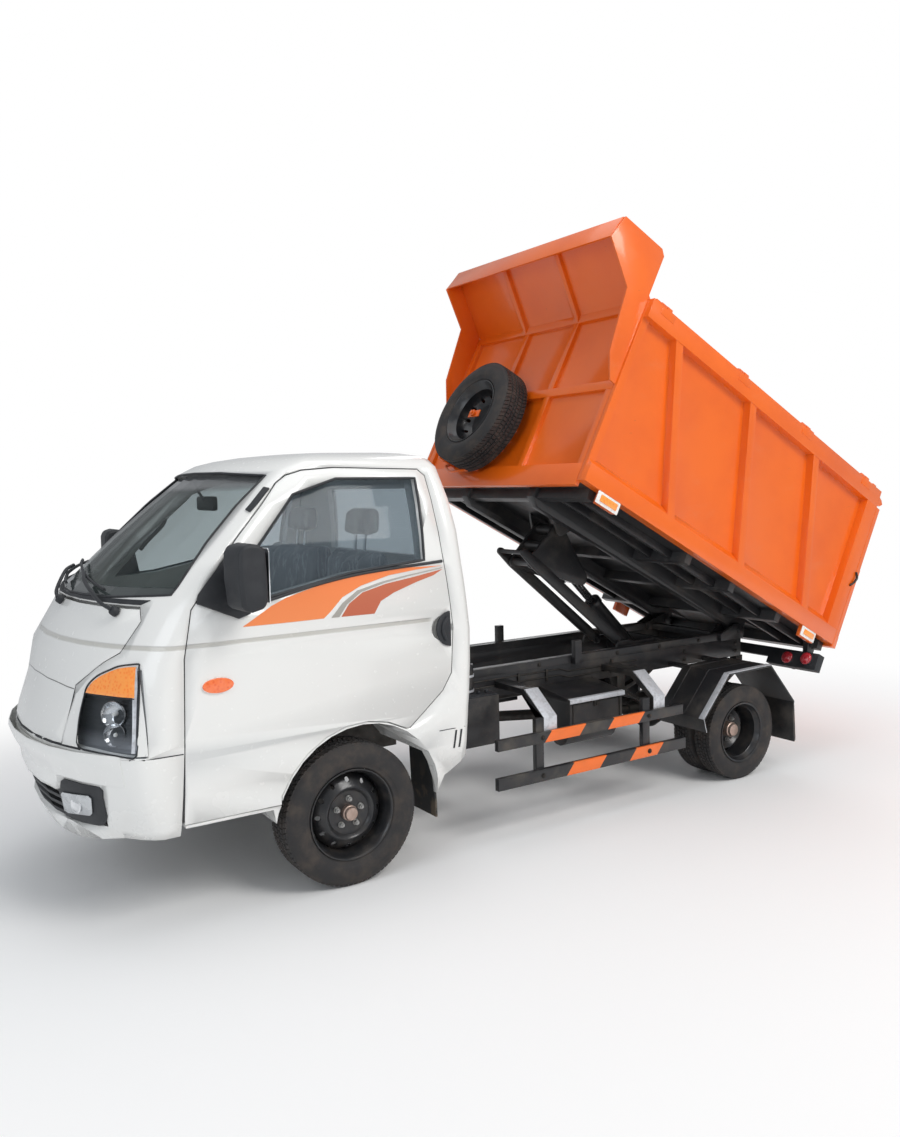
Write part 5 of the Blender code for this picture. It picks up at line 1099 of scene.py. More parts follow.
    def small_trim(self):
        """Pillar cap, quarter panel slots and seam, side repeater and door handle."""
        oblong = [(0.404, 1.718), (0.414, 1.728), (0.311, 1.822), (0.296, 1.816)]
        put_pair(laid("pillar_cap_left", oblong, "side", 0.007, 0.03, 0.0005, 0.003), "chassis",
                 "moulded_plastic")
        slots = []
        for x in (-0.552, -0.582):
            slot = [(x, 0.645), (x + 0.010, 0.645), (x + 0.022, 0.558), (x + 0.012, 0.558)]
            slots.append(laid("quarter_slot", slot, "side", 0.0012, 0.03, 0.0005))
        put_pair(joined("quarter_slots_left", slots), "chassis", "moulded_plastic")
        seam = [on_cab(x, z, "side", -0.0006) for x, z in ((-0.452, 0.655), (-0.53, 0.655), (-0.60, 0.654))]
        self.line("quarter_seam_left", seam, 0.0022, 6)
        repeater = (0.622, 1.021)
        lamp = laid("repeater_left", ellipse(repeater, (0.066, 0.031)), "side", 0.009, 0.03, 0.002, 0.005)
        put_pair(lamp, "left_door", "repeater_lens")
        rim = ellipse(repeater, (0.071, 0.036))
        base = laid("repeater_base_left", rim, "side", 0.003, 0.03, 0.0004, 0.0015)
        put_pair(base, "left_door", "pale_lens")
        centre, half_width, half_height = (-0.520, 1.140), 0.078, 0.083
        turns = [math.radians(85 - 17 * i) for i in range(11)]
        bow = [(centre[0] + half_width * math.cos(a), centre[1] + half_height * math.sin(a)) for a in turns]
        pull = [(centre[0], centre[1] + half_height), *bow, (centre[0], centre[1] - half_height)]
        put_pair(laid("door_pull_left", pull, "side", 0.010, 0.02, -0.003, 0.003), "left_door",
                 "moulded_plastic")
        lever = [on_cab(x, z, "side", 0.009) for x, z in (
            (-0.503, 1.195), (-0.480, 1.165), (-0.475, 1.13), (-0.490, 1.09))]
        self.line("door_lever_left", lever, 0.009, 10, "left_door", 4)

    def inside(self):
        """What shows through the glass apart from the seats and the dashboard."""
        mirror = block("inside_mirror", (0.315, -0.12, 1.715), (0.345, 0.12, 1.785), 0.012)
        stalk = tube("inside_stalk", [(0.345, 0, 1.77), (0.37, 0, 1.81), (0.385, 0, 1.86)], 0.007, 8, soft=4)
        put(joined("inside_mirror", [mirror, stalk]), "chassis", "moulded_plastic")
        points = [(0.47, -0.70, 1.50), (0.44, -0.655, 1.55), (0.36, -0.645, 1.63), (0.33, -0.68, 1.68)]
        grip = tube("pillar_grip", points, 0.011, 10, soft=5)
        put(grip, "chassis", "dash_plastic")
        vents = []
        for y in (0.62, 0.10, -0.10, -0.62):
            for i in range(4):
                z = 1.235 + i * 0.013
                vents.append(block("vent", (0.555, y - 0.06, z), (0.585, y + 0.06, z + 0.006), 0.001))
        put(joined("dash_vents", vents), "chassis", "moulded_plastic")
        lever = joined("gear_lever", [
            tube("gear_stick", [(0.44, 0.08, 0.66), (0.43, 0.08, 0.85), (0.40, 0.08, 1.02)], 0.009, 8, 4),
            bar("gear_knob", (0.40, 0.08, 1.00), (0.395, 0.08, 1.06), 0.024, 20, 0.010)])
        put(lever, "chassis", "moulded_plastic")


class SeatsOperator(bpy.types.Operator):
    """Makes the padded seats, swelled by a short cloth simulation, in place of the plain ones."""

    bl_idname = "truck.seats"
    bl_label = "Seats"

    def execute(self, context):
        """Pads each seat in place of its two solids."""
        for node, low, high in (("driver_seat", 0.14, 0.66), ("passenger_seat", -0.66, 0.06)):
            middle = (low + high) / 2
            cushion = self.pad(node + "_cushion", [
                (0.31, 0.845), (0.325, 0.93), (0.27, 0.965), (-0.19, 0.945), (-0.22, 0.845)],
                low + 0.012, high - 0.012, flat_below=0.832)
            back = self.pad(node + "_back", [
                (-0.15, 0.935), (-0.235, 1.485), (-0.28, 1.525), (-0.335, 1.515), (-0.345, 1.46),
                (-0.25, 0.935)], low + 0.03, high - 0.03)
            head = self.pad(node + "_head", [
                (-0.265, 1.585), (-0.28, 1.69), (-0.33, 1.715), (-0.365, 1.69), (-0.355, 1.585)],
                middle - 0.115, middle + 0.115)
            stalks = [bar("stalk", (-0.30, middle + s, 1.50), (-0.31, middle + s, 1.60), 0.007, 12, 0)
                      for s in (-0.05, 0.05)]
            put(joined(node + "_stalks", stalks), "chassis", "polished_steel")
            for piece in (cushion, back, head):
                put(piece, "chassis", "seat_cloth")
            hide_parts(node)
        fresh()
        return {"FINISHED"}

    def pad(self, name, outline, low, high, flat_below=None):
        """A seat's pad from its side outline, swelled, capped and sewn with two grooves."""
        piece = slab(name, outline, "Y", low, high, 0.018)
        rest = piece.modifiers.new("rest", "REMESH")
        rest.mode = "VOXEL"
        rest.voxel_size = SEAT_CELL
        apply_all(piece)
        before = [v.co.copy() for v in piece.data.vertices]
        self.swell(piece)
        cap = sizes().seat_swell
        groove_width, groove_depth, cushion_top = 0.012, 0.007, 0.94
        middle = (low + high) / 2
        for vertex, old in zip(piece.data.vertices, before):
            move = vertex.co - old
            if move.length > cap:
                vertex.co = old + move * (cap / move.length)
            if flat_below is not None:
                vertex.co.z = max(vertex.co.z, flat_below)
            for seam in (middle - 0.28 * (high - low), middle + 0.28 * (high - low)):
                near = max(0.0, 1 - abs(vertex.co.y - seam) / groove_width)
                vertex.co.x -= groove_depth * near * near
                vertex.co.z -= groove_depth * near * near * (vertex.co.z > cushion_top)
        soft = piece.modifiers.new("soft", "SMOOTH")
        soft.factor = 0.5
        soft.iterations = 2
        apply_all(piece)
        return polish(piece)

    def swell(self, piece):
        """Blows the pad up as cloth under air pressure, with no gravity."""
        scene = bpy.context.scene
        cloth = piece.modifiers.new("swell", "CLOTH")
        cloth.settings.use_pressure = True
        cloth.settings.uniform_pressure_force = SEAT_PRESSURE
        cloth.settings.effector_weights.gravity = 0.0
        cloth.settings.quality = 4
        cloth.point_cache.frame_start = 1
        cloth.point_cache.frame_end = SEAT_STEPS
        for step in range(1, SEAT_STEPS + 1):
            scene.frame_set(step)
        apply_all(piece)
        scene.frame_set(1)


class LampsOperator(bpy.types.Operator):
    """Makes the headlamps, fog lamps, side marker lamps and tail lamps."""

    bl_idname = "truck.lamps"
    bl_label = "Lamps"

    def execute(self, context):
        """Adds the lamps of the front, the bumper, the sides and the tail."""
        self.headlamp()
        self.fog_lamps()
        self.markers()
        self.tail()
        fresh()
        return {"FINISHED"}

    def headlamp(self):
        """Both headlamps: cover, housing, bowls, indicator, strip, surround and rim."""
        for side, sign in (("left", 1), ("right", -1)):
            node = "headlamp_" + side
            cover = self.outer_face(node, sign)
            bucket = self.sunk(cover, "headlamp_housing_" + side, 0.003, 0.036)
            self.hollow(bucket, len(cover.data.polygons))
            wall = cover.modifiers.new("wall", "SOLIDIFY")
            wall.thickness = 0.0025
            apply_all(cover)
            for piece, finish in ((cover, "lamp_cover"), (bucket, "lamp_housing")):
                piece.data.materials.clear()
                piece.data.materials.append(MATERIALS[finish])
                polish(piece)
                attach(piece, "chassis")
            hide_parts(node)
        self.bowls()
        indicator = laid("headlamp_indicator_left", [
            (0.552, 0.998), (0.558, 1.014), (0.586, 1.046), (0.622, 1.071), (0.665, 1.093), (0.705, 1.109),
            (0.750, 1.118), (0.781, 1.120), (0.786, 1.060), (0.794, 0.998)],
            "front", 0.0030, 0.03, 0.0012, 0.001)
        put_pair(indicator, "chassis", "amber_lens")
        strip = laid("headlamp_strip_left", [
            (0.919, 1.116), (0.929, 1.116), (0.937, 1.040), (0.970, 0.785), (0.959, 0.785), (0.925, 1.040)],
            "side", 0.0024, 0.02, 0.0012)
        put_pair(strip, "chassis", "trim_strip")
        beside_nose = [(0.4885, 0.7835), (0.591, 0.7835), (0.566, 0.850), (0.549, 0.915), (0.545, 0.980),
                       (0.549, 1.0165), (0.4885, 0.9880)]
        behind = [(0.9160, 1.080), (0.9160, 0.772), (0.955, 0.772), (0.936, 0.920)]
        fills = [laid("fill", beside_nose, "front", 0.0012, 0.03, 0.0010),
                 laid("fill", behind, "side", 0.0012, 0.03, 0.0010)]
        put_pair(joined("headlamp_surround_left", fills), "chassis", "cab_paint")
        front = [(0.700, 0.776), (0.591, 0.786), (0.566, 0.850), (0.549, 0.915), (0.544, 0.980),
                 (0.551, 1.018), (0.580, 1.051), (0.618, 1.079), (0.665, 1.101), (0.705, 1.118),
                 (0.755, 1.128), (0.790, 1.131)]
        side = [(0.914, 1.118), (0.917, 1.066), (0.935, 0.920), (0.955, 0.776)]
        rim = [on_cab(y, z, "front", 0.0022) for y, z in front]
        rim += [on_cab(x, z, "side", 0.0022) for x, z in side]
        rim.append(on_cab(0.80, 0.770, "front", 0.0022))
        put_pair(tube("headlamp_rim_left", smooth_line(rim, 3), 0.0036, 8, closed=True), "chassis",
                 "moulded_plastic")
        border = [on_cab(y, z, "front", 0.0036) for y, z in (
            (0.550, 0.996), (0.62, 0.993), (0.70, 0.992), (0.794, 0.994))]
        line = tube("indicator_line_left", border, 0.0022, 6, soft=3)
        put_pair(line, "chassis", "moulded_plastic")

    def outer_face(self, node, sign):
        """The lamp's outer face alone, cut from a welded copy of its solid."""
        cover = bpy.data.objects.new(node.replace("headlamp", "headlamp_cover"), NODES[node].data.copy())
        bpy.context.collection.objects.link(cover)
        only(cover)
        bpy.ops.object.mode_set(mode="EDIT")
        bpy.ops.mesh.select_all(action="SELECT")
        bpy.ops.mesh.remove_doubles(threshold=WELD_GAP)
        bpy.ops.mesh.select_all(action="DESELECT")
        bpy.ops.object.mode_set(mode="OBJECT")
        out = Vector((1, sign, 0.15)).normalized()
        for face in cover.data.polygons:
            slant = abs(face.normal.x) > 0.04 and abs(face.normal.y) > 0.04
            face.select = not (slant and face.normal.dot(out) > 0.25)
        pick_by("FACE")
        bpy.ops.object.mode_set(mode="EDIT")
        bpy.ops.mesh.delete(type="FACE")
        bpy.ops.object.mode_set(mode="OBJECT")
        return cover

    def sunk(self, cover, name, depth, thickness):
        """A copy of the lamp's face that lies behind it and has a thickness."""
        piece = cover.copy()
        piece.data = cover.data.copy()
        piece.name = name
        piece.data.name = name
        bpy.context.collection.objects.link(piece)
        back = piece.modifiers.new("back", "DISPLACE")
        back.mid_level = 0.0
        back.strength = -depth
        wall = piece.modifiers.new("wall", "SOLIDIFY")
        wall.thickness = thickness
        return apply_all(piece)

    def hollow(self, piece, front):
        """Opens the front of the lamp's housing, its first faces, and gives its walls a thickness."""
        for face in piece.data.polygons:
            face.select = face.index < front
        only(piece)
        pick_by("FACE")
        bpy.ops.object.mode_set(mode="EDIT")
        bpy.ops.mesh.delete(type="FACE")
        bpy.ops.object.mode_set(mode="OBJECT")
        wall = piece.modifiers.new("wall", "SOLIDIFY")
        wall.thickness = 0.002
        apply_all(piece)

    def bowls(self):
        """The two chromed bowls of a headlamp and their bulbs."""
        axis = Vector((0.72, 0.69, 0.05)).normalized()
        for name, centre, radius in (
                ("upper", (1.000, 0.700, 0.924), 0.056), ("lower", (1.003, 0.715, 0.842), 0.050)):
            centre = Vector(centre)
            profile = [(0.0, -0.030), (radius * 0.45, -0.026), (radius * 0.8, -0.012), (radius, 0.004),
                       (radius * 0.96, 0.008), (radius * 0.78, -0.008), (radius * 0.42, -0.021),
                       (0.0, -0.024)]
            bowl = spun("headlamp_bowl_%s_left" % name, profile, centre, 40, axis=axis)
            put_pair(bowl, "chassis", "reflector")
            bulb = bar("headlamp_bulb_%s_left" % name, centre - axis * 0.028, centre + axis * 0.004, 0.011,
                       16, 0.004, 0.008)
            put_pair(bulb, "chassis", "pale_lens")

    def fog_lamps(self):
        """The fog lamps in their bezels, with the grille drawn back behind them."""
        grille = dressed("bumper_grille", "moulded_plastic")
        bulb_place, reach, back, sink = (0.52, 0.53), 0.060, 0.94, 0.010
        for vertex in grille.data.vertices:
            away = math.hypot(abs(vertex.co.y) - bulb_place[0], vertex.co.z - bulb_place[1])
            if away < reach and vertex.co.x > back + AXLE_X:
                face = on_cab(abs(vertex.co.y), vertex.co.z, "front").x + AXLE_X
                vertex.co.x = min(vertex.co.x, face - sink)
        outer = [(0.385, 0.447), (0.415, 0.560), (0.442, 0.618), (0.465, 0.630), (0.675, 0.630),
                 (0.690, 0.616), (0.668, 0.500), (0.645, 0.464), (0.605, 0.450), (0.500, 0.442)]
        inner = [(0.408, 0.482), (0.428, 0.560), (0.444, 0.572), (0.616, 0.588), (0.629, 0.576),
                 (0.604, 0.508), (0.586, 0.494), (0.430, 0.474)]
        frame_piece = laid("fog_bezel_left", outer, "front", 0.010, 0.05, -0.004, 0.003)
        put_pair(frame_piece, "chassis", "moulded_plastic")
        lamp = laid("fog_lamp_left", inner, "front", 0.006, 0.04, 0.007, 0.002)
        put_pair(lamp, "chassis", "fog_housing")
        bulb = on_cab(*bulb_place, "front", 0.012)
        profile = [(0.0, -0.002), (0.034, 0.0), (0.036, 0.004), (0.030, 0.006), (0.020, 0.003),
                   (0.008, 0.004), (0.0, 0.006)]
        ring = spun("fog_bulb_left", profile, bulb, 32, axis=Vector((0.93, 0.36, 0)).normalized())
        put_pair(ring, "chassis", "reflector")

    def markers(self):
        """Amber side lamps on pale plates under the bed's sides."""
        for name, low, high, v_low, v_high in (
                ("front", 2.045, 2.215, -0.074, -0.006), ("rear", 0.185, 0.330, -0.070, -0.006)):
            plate = block("marker_%s_base_left" % name, (low, 0.844, v_low), (high, 0.852, v_high), 0.006)
            glass = block("marker_%s_glass_left" % name, (low + 0.022, 0.851, v_low + 0.015),
                          (high - 0.022, 0.860, v_high - 0.015), 0.004)
            put_pair(plate, "bed", "pale_lens", TO_BED)
            put_pair(glass, "bed", "amber_lens", TO_BED)

    def tail(self):
        """Round lamps that show at the front and the back of their housing, in black rings."""
        dressed("tail_lamps", "moulded_plastic", 0.012)
        dome = [(0.0, 0.026), (0.018, 0.024), (0.033, 0.018), (0.040, 0.008), (0.041, -0.004), (0.0, -0.004)]
        ring = [(0.041, 0.006), (0.047, 0.004), (0.048, -0.003), (0.041, -0.004)]
        for name, y in zip(("inner", "outer"), TAIL_LAMPS):
            for way, u, axis in (("rear", -0.004, (-1, 0, 0)), ("front", 0.088, (1, 0, 0))):
                centre = (u, y, -0.150 if name == "outer" else -0.162)
                glass = spun("tail_lens_%s_%s_left" % (name, way), dome, centre, 32, axis=axis)
                put_pair(glass, "bed", "red_lens", TO_BED)
                bezel = spun("tail_ring_%s_%s_left" % (name, way), ring, centre, 32, closed=True, axis=axis)
                put_pair(bezel, "bed", "moulded_plastic", TO_BED)


class MirrorsOperator(bpy.types.Operator):
    """Makes the door mirrors on their sail panels, and the wipers on the windscreen."""

    bl_idname = "truck.mirrors"
    bl_label = "Mirrors and wipers"

    def execute(self, context):
        """Adds mirrors and wipers."""
        self.mirrors()
        self.wipers()
        fresh()
        return {"FINISHED"}

    def mirrors(self):
        """A mirror's head on two arms and a sail panel, with its glass to the rear."""
        sail = laid("mirror_sail_left", [
            (0.690, 1.360), (0.680, 1.395), (0.505, 1.585), (0.490, 1.590), (0.440, 1.365), (0.470, 1.300),
            (0.520, 1.285)], "side", 0.014, 0.04, 0.002, 0.004)
        lower = [(0.540, 0.84, 1.36), (0.545, 0.90, 1.365), (0.540, 0.955, 1.40)]
        upper = [(0.520, 0.82, 1.50), (0.530, 0.89, 1.51), (0.535, 0.955, 1.50)]
        arms = [tube("arm", lower, 0.014, 12, soft=5), tube("arm", upper, 0.013, 12, soft=5)]
        outline = [(0.592, 1.36), (0.602, 1.46), (0.600, 1.565), (0.585, 1.595), (0.540, 1.606),
                   (0.490, 1.598), (0.468, 1.575), (0.462, 1.46), (0.462, 1.375), (0.480, 1.345),
                   (0.540, 1.332), (0.578, 1.340)]
        head = slab("head", outline, "Y", 0.930, 1.088, 0.0)
        taper = [v for v in head.data.vertices if v.co.y > 1.0]
        for vertex in taper:
            vertex.co.x += (0.53 - vertex.co.x) * 0.16
        polish(head, 0.022, 4)
        body = joined("mirror_body_left", [head, sail, *arms])
        put_pair(body, "left_door", "moulded_plastic")
        glass = slab("mirror_face_left", [
            (0.945, 1.365), (1.072, 1.365), (1.076, 1.57), (1.066, 1.583), (0.952, 1.583), (0.942, 1.57)],
            "X", 0.459, 0.464, 0.002)
        put_pair(glass, "left_door", "mirror_glass")
        for side in ("left", "right"):
            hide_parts("mirror_" + side)

    def wipers(self):
        """Two wipers on a cowl strip, lying on the windscreen."""
        cowl = laid("wiper_cowl", [
            (-0.66, 1.352), (0.66, 1.352), (0.70, 1.372), (0.45, 1.369), (0, 1.362), (-0.45, 1.369),
            (-0.70, 1.372)], "front", 0.004, 0.06, 0.001)
        parts = [cowl]
        for pivot, bend, tip, start, end in (
                ((0.555, 1.318), (0.22, 1.40), (0.05, 1.437), (0.40, 1.392), (-0.30, 1.478)),
                ((-0.02, 1.325), (-0.34, 1.412), (-0.46, 1.437), (-0.12, 1.388), (-0.74, 1.440))):
            base = on_cab(*pivot, "front", 0.004)
            top = on_cab(*pivot, "front", 0.034)
            parts.append(bar("pivot", base, top, 0.024, 24, 0.006, 0.018))
            shoulder = [(a * 2 + b) / 3 for a, b in zip(pivot, bend)]
            arm = [on_cab(*place, "front", out) for place, out in (
                (pivot, 0.030), (shoulder, 0.034), (bend, 0.034), (tip, 0.024))]
            parts.append(tube("arm", arm, 0.0085, 10, soft=5))
            line = [on_cab(*[a + (b - a) * i / 9 for a, b in zip(start, end)], "front", 0.016)
                    for i in range(10)]
            parts.append(tube("blade", line, 0.0065, 8, soft=2))
            low = [p - Vector((0.004, 0, 0.004)) for p in line]
            parts.append(tube("wiping_edge", low, 0.004, 6, soft=2))
        piece = joined("wiper_set", parts)
        put(piece, "chassis", "moulded_plastic")
        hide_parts("wipers")


class WheelsOperator(bpy.types.Operator):
    """Makes the treaded tyres and the pressed steel wheels with their vents, nuts and hubs."""

    bl_idname = "truck.wheels"
    bl_label = "Wheels"

    def execute(self, context):
        """Adds tyres, rims, nuts and hubs, and the spare wheel."""
        front = FRONT_WHEEL
        tyre = self.tyre("front_tread_left", *FRONT_TYRE, front, 84)
        spare = tyre.copy()
        spare.data = tyre.data.copy()
        spare.name = "spare_tread"
        bpy.context.collection.objects.link(spare)
        left, right = put_pair(tyre, "left_front_wheel", "tyre_rubber")
        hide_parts("front_tyre_left")
        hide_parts("front_tyre_right")
        rim = self.front_rim("front_wheel_left", front)
        spare_rim = rim.copy()
        spare_rim.data = rim.data.copy()
        spare_rim.name = "spare_wheel"
        bpy.context.collection.objects.link(spare_rim)
        left, right = put_pair(rim, "left_front_wheel", "wheel_steel")
        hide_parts("front_rim_left")
        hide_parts("front_rim_right")
        self.nuts("front_nuts_left", front, 5, 0.064, 0.036, "left_front_wheel")
        self.hub("front_hub_left", front, 0.036, 0.030, 0.078, "left_front_wheel")
        self.place_spare(spare, spare_rim, front)
        x, y, z = REAR_WHEELS
        for place, sign in (("outer", 1), ("inner", -1)):
            centre = (x, y + sign * TWIN_STEP, z)
            tyre = self.tyre("rear_tread_%s_left" % place, *REAR_TYRE, centre, 72)
            left, right = put_pair(tyre, "left_rear_wheels", "tyre_rubber")
            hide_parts("rear_tyre_%s_left" % place)
            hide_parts("rear_tyre_%s_right" % place)
        rims = joined("rear_wheels_left", [self.rear_rim((x, y + TWIN_STEP, z), 1),
                                           self.rear_rim((x, y - TWIN_STEP, z), -1)])
        left, right = put_pair(rims, "left_rear_wheels", "wheel_steel")
        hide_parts("rear_rims_left")
        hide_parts("rear_rims_right")
        self.nuts("rear_nuts_left", REAR_WHEELS, 6, 0.074, 0.010, "left_rear_wheels")
        self.hub("rear_hub_left", REAR_WHEELS, 0.045, 0.008, 0.088, "left_rear_wheels")
        fresh()
        return {"FINISHED"}

    def tyre(self, name, radius, bead, width, centre, steps):
        """A tyre with ringed side walls and blocks round its tread."""
        half = width / 2
        crown = radius - sizes().tread_depth
        wall = crown - bead
        side = [(bead, -half * 0.70), (bead + 0.003, -half * 0.80), (bead + 0.010, -half * 0.86),
                (bead + 0.013, -half * 0.86), (bead + wall * 0.25, -half * 0.955),
                (bead + wall * 0.28, -half * 0.970), (bead + wall * 0.45, -half * 0.995),
                (bead + wall * 0.62, -half * 0.985), (bead + wall * 0.65, -half * 0.968),
                (bead + wall * 0.80, -half * 0.93), (crown - 0.010, -half * 0.865)]
        edges = [-0.80, -0.46, -0.40, -0.14, -0.08, 0.08, 0.14, 0.40, 0.46, 0.80]
        tread = [(crown - 0.0045 * abs(e) ** 3 - 0.001, half * e) for e in edges]
        outside = side + tread + [(r, -a) for r, a in reversed(side)]
        inside = [(bead + 0.006, half * 0.62), (crown - 0.030, half * 0.80), (crown - 0.018, half * 0.60),
                  (crown - 0.018, -half * 0.60), (crown - 0.030, -half * 0.80), (bead + 0.006, -half * 0.62)]
        piece = spun(name, outside + inside, centre, steps, closed=True)
        middle = Vector(centre)
        ribs = [(edges[i], edges[i + 1]) for i in range(0, len(edges), 2)]
        for face in piece.data.polygons:
            spot = face.center - middle
            reach = math.hypot(spot.x, spot.z)
            place = spot.y / half
            outward = face.normal.dot(Vector((spot.x, 0, spot.z)).normalized())
            face.select = reach > crown - 0.012 and outward > 0.8 and any(a < place < b for a, b in ribs)
        only(piece)
        pick_by("FACE")
        bpy.ops.object.mode_set(mode="EDIT")
        bpy.ops.mesh.inset(thickness=sizes().tread_gap / 2, depth=sizes().tread_depth, use_individual=True)
        bpy.ops.object.mode_set(mode="OBJECT")
        for vertex in piece.data.vertices:
            spot = vertex.co - middle
            place = spot.y / half
            if math.hypot(spot.x, spot.z) > crown - 0.012 and abs(place) < 0.86:
                angle = 0.030 * math.sin(place * math.pi * 1.6)
                vertex.co = middle + Matrix.Rotation(angle, 3, "Y") @ spot
        return polish(piece)

    def vents(self, piece, centre, radius, size, count, reach, along):
        """Cuts a ring of round holes through a wheel's disc."""
        cutters = []
        for i in range(count):
            angle = 2 * math.pi * i / count
            spot = Vector(centre) + Vector((math.cos(angle), 0, math.sin(angle))) * radius
            start, end = spot + Vector((0, along - reach, 0)), spot + Vector((0, along + reach, 0))
            cutters.append(bar("vent", start, end, size, 16, 0))
        cutter = joined("vents", cutters)
        cut = piece.modifiers.new("vents", "BOOLEAN")
        cut.object = cutter
        cut.solver = "EXACT"
        apply_all(piece)
        bpy.data.objects.remove(cutter)
        return polish(piece)

    def front_rim(self, name, centre):
        """A front wheel's dished disc in its barrel."""
        face = [(0.0, 0.036), (0.090, 0.036), (0.100, 0.039), (0.108, 0.050), (0.116, 0.056), (0.122, 0.055),
                (0.132, 0.046), (0.150, 0.036), (0.166, 0.020), (0.176, 0.004), (0.181, -0.006)]
        barrel = [(0.184, 0.018), (0.190, 0.050), (0.1955, 0.058), (0.1985, 0.074), (0.205, 0.081),
                  (0.210, 0.082), (0.2105, 0.079), (0.2060, 0.074), (0.1995, 0.058), (0.1940, 0.048),
                  (0.188, 0.016), (0.176, -0.010), (0.176, -0.040), (0.196, -0.060), (0.2045, -0.074),
                  (0.2095, -0.081), (0.2045, -0.083), (0.1985, -0.076), (0.190, -0.058), (0.170, -0.040),
                  (0.170, -0.012)]
        back = [(0.160, 0.012), (0.148, 0.030), (0.130, 0.040), (0.120, 0.048), (0.112, 0.044),
                (0.102, 0.0315), (0.0, 0.0308)]
        piece = spun(name, face + barrel + back, centre, 72)
        return self.vents(piece, centre, 0.152, 0.0115, 12, 0.03, 0.028)

    def rear_rim(self, centre, sign):
        """One of the twin wheels, its disc towards the other."""
        disc = -0.0775
        face = [(0.0, disc), (0.092, disc), (0.100, disc + 0.003), (0.112, disc + 0.020),
                (0.120, disc + 0.024), (0.134, disc + 0.016), (0.146, disc + 0.004), (0.1485, -0.062)]
        barrel = [(0.150, -0.020), (0.152, 0.026), (0.158, 0.032), (0.162, 0.044), (0.168, 0.050),
                  (0.170, 0.058), (0.177, 0.0625), (0.181, 0.0635), (0.1812, 0.0605), (0.176, 0.057),
                  (0.170, 0.048), (0.161, 0.028), (0.156, 0.020), (0.155, -0.040), (0.170, -0.052),
                  (0.181, -0.0605), (0.178, -0.063), (0.168, -0.056), (0.1535, -0.066)]
        back = [(0.146, disc - 0.001), (0.134, disc + 0.011), (0.120, disc + 0.019), (0.112, disc + 0.015),
                (0.100, disc - 0.002), (0.0, disc - 0.0045)]
        profile = [(r, sign * a) for r, a in face + barrel + back]
        piece = spun("rim", profile, centre, 64)
        return self.vents(piece, centre, 0.130, 0.012, 8, 0.02, sign * (disc + 0.015))

    def nuts(self, name, centre, count, radius, start, body):
        """A ring of studs with nuts and seats."""
        stud = bar("stud", (0, 0, 0), (0, 0.026, 0), 0.0065, 12, 0.001)
        nut = bar("nut", (0, 0.001, 0), (0, 0.018, 0), 0.0125, 6, 0.0025)
        seat = bar("seat", (0, -0.001, 0), (0, 0.004, 0), 0.0150, 20, 0.001, 0.0135)
        one = joined("nut", [stud, nut, seat])
        places = []
        for i in range(count):
            angle = 2 * math.pi * (i + 0.28) / count
            spot = Vector(centre) + Vector((math.cos(angle) * radius, start, math.sin(angle) * radius))
            places.append(Matrix.Translation(spot) @ Matrix.Rotation(-angle, 4, "Y"))
        return put_pair(repeated(one, places, name), body, "nut_steel")

    def hub(self, name, centre, radius, start, end, body):
        """A turned hub end with a stepped cap."""
        profile = [(0.0, end), (radius * 0.45, end - 0.001), (radius * 0.78, end - 0.004),
                   (radius * 0.86, end - 0.010), (radius * 0.88, end - 0.018), (radius, end - 0.022),
                   (radius, start), (0.0, start)]
        piece = spun(name, profile, centre, 40)
        return put_pair(piece, body, "hub_metal")

    def place_spare(self, tyre, rim, centre):
        """Turns the spare wheel to face forward on the headboard."""
        middle = Vector(centre)
        home = Matrix.Translation(-middle)
        turn = Matrix.Translation(SPARE_PLACE) @ Matrix.Rotation(-math.pi / 2, 4, "Z") @ home
        flip = Matrix.Translation(middle) @ Matrix.Rotation(math.pi, 4, "Z") @ home
        tyre.data.transform(turn)
        rim.data.transform(turn @ flip)
        put(tyre, "bed", "tyre_rubber", TO_BED)
        put(rim, "bed", "wheel_steel", TO_BED)
        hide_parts("spare_tyre")
        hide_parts("spare_rim")


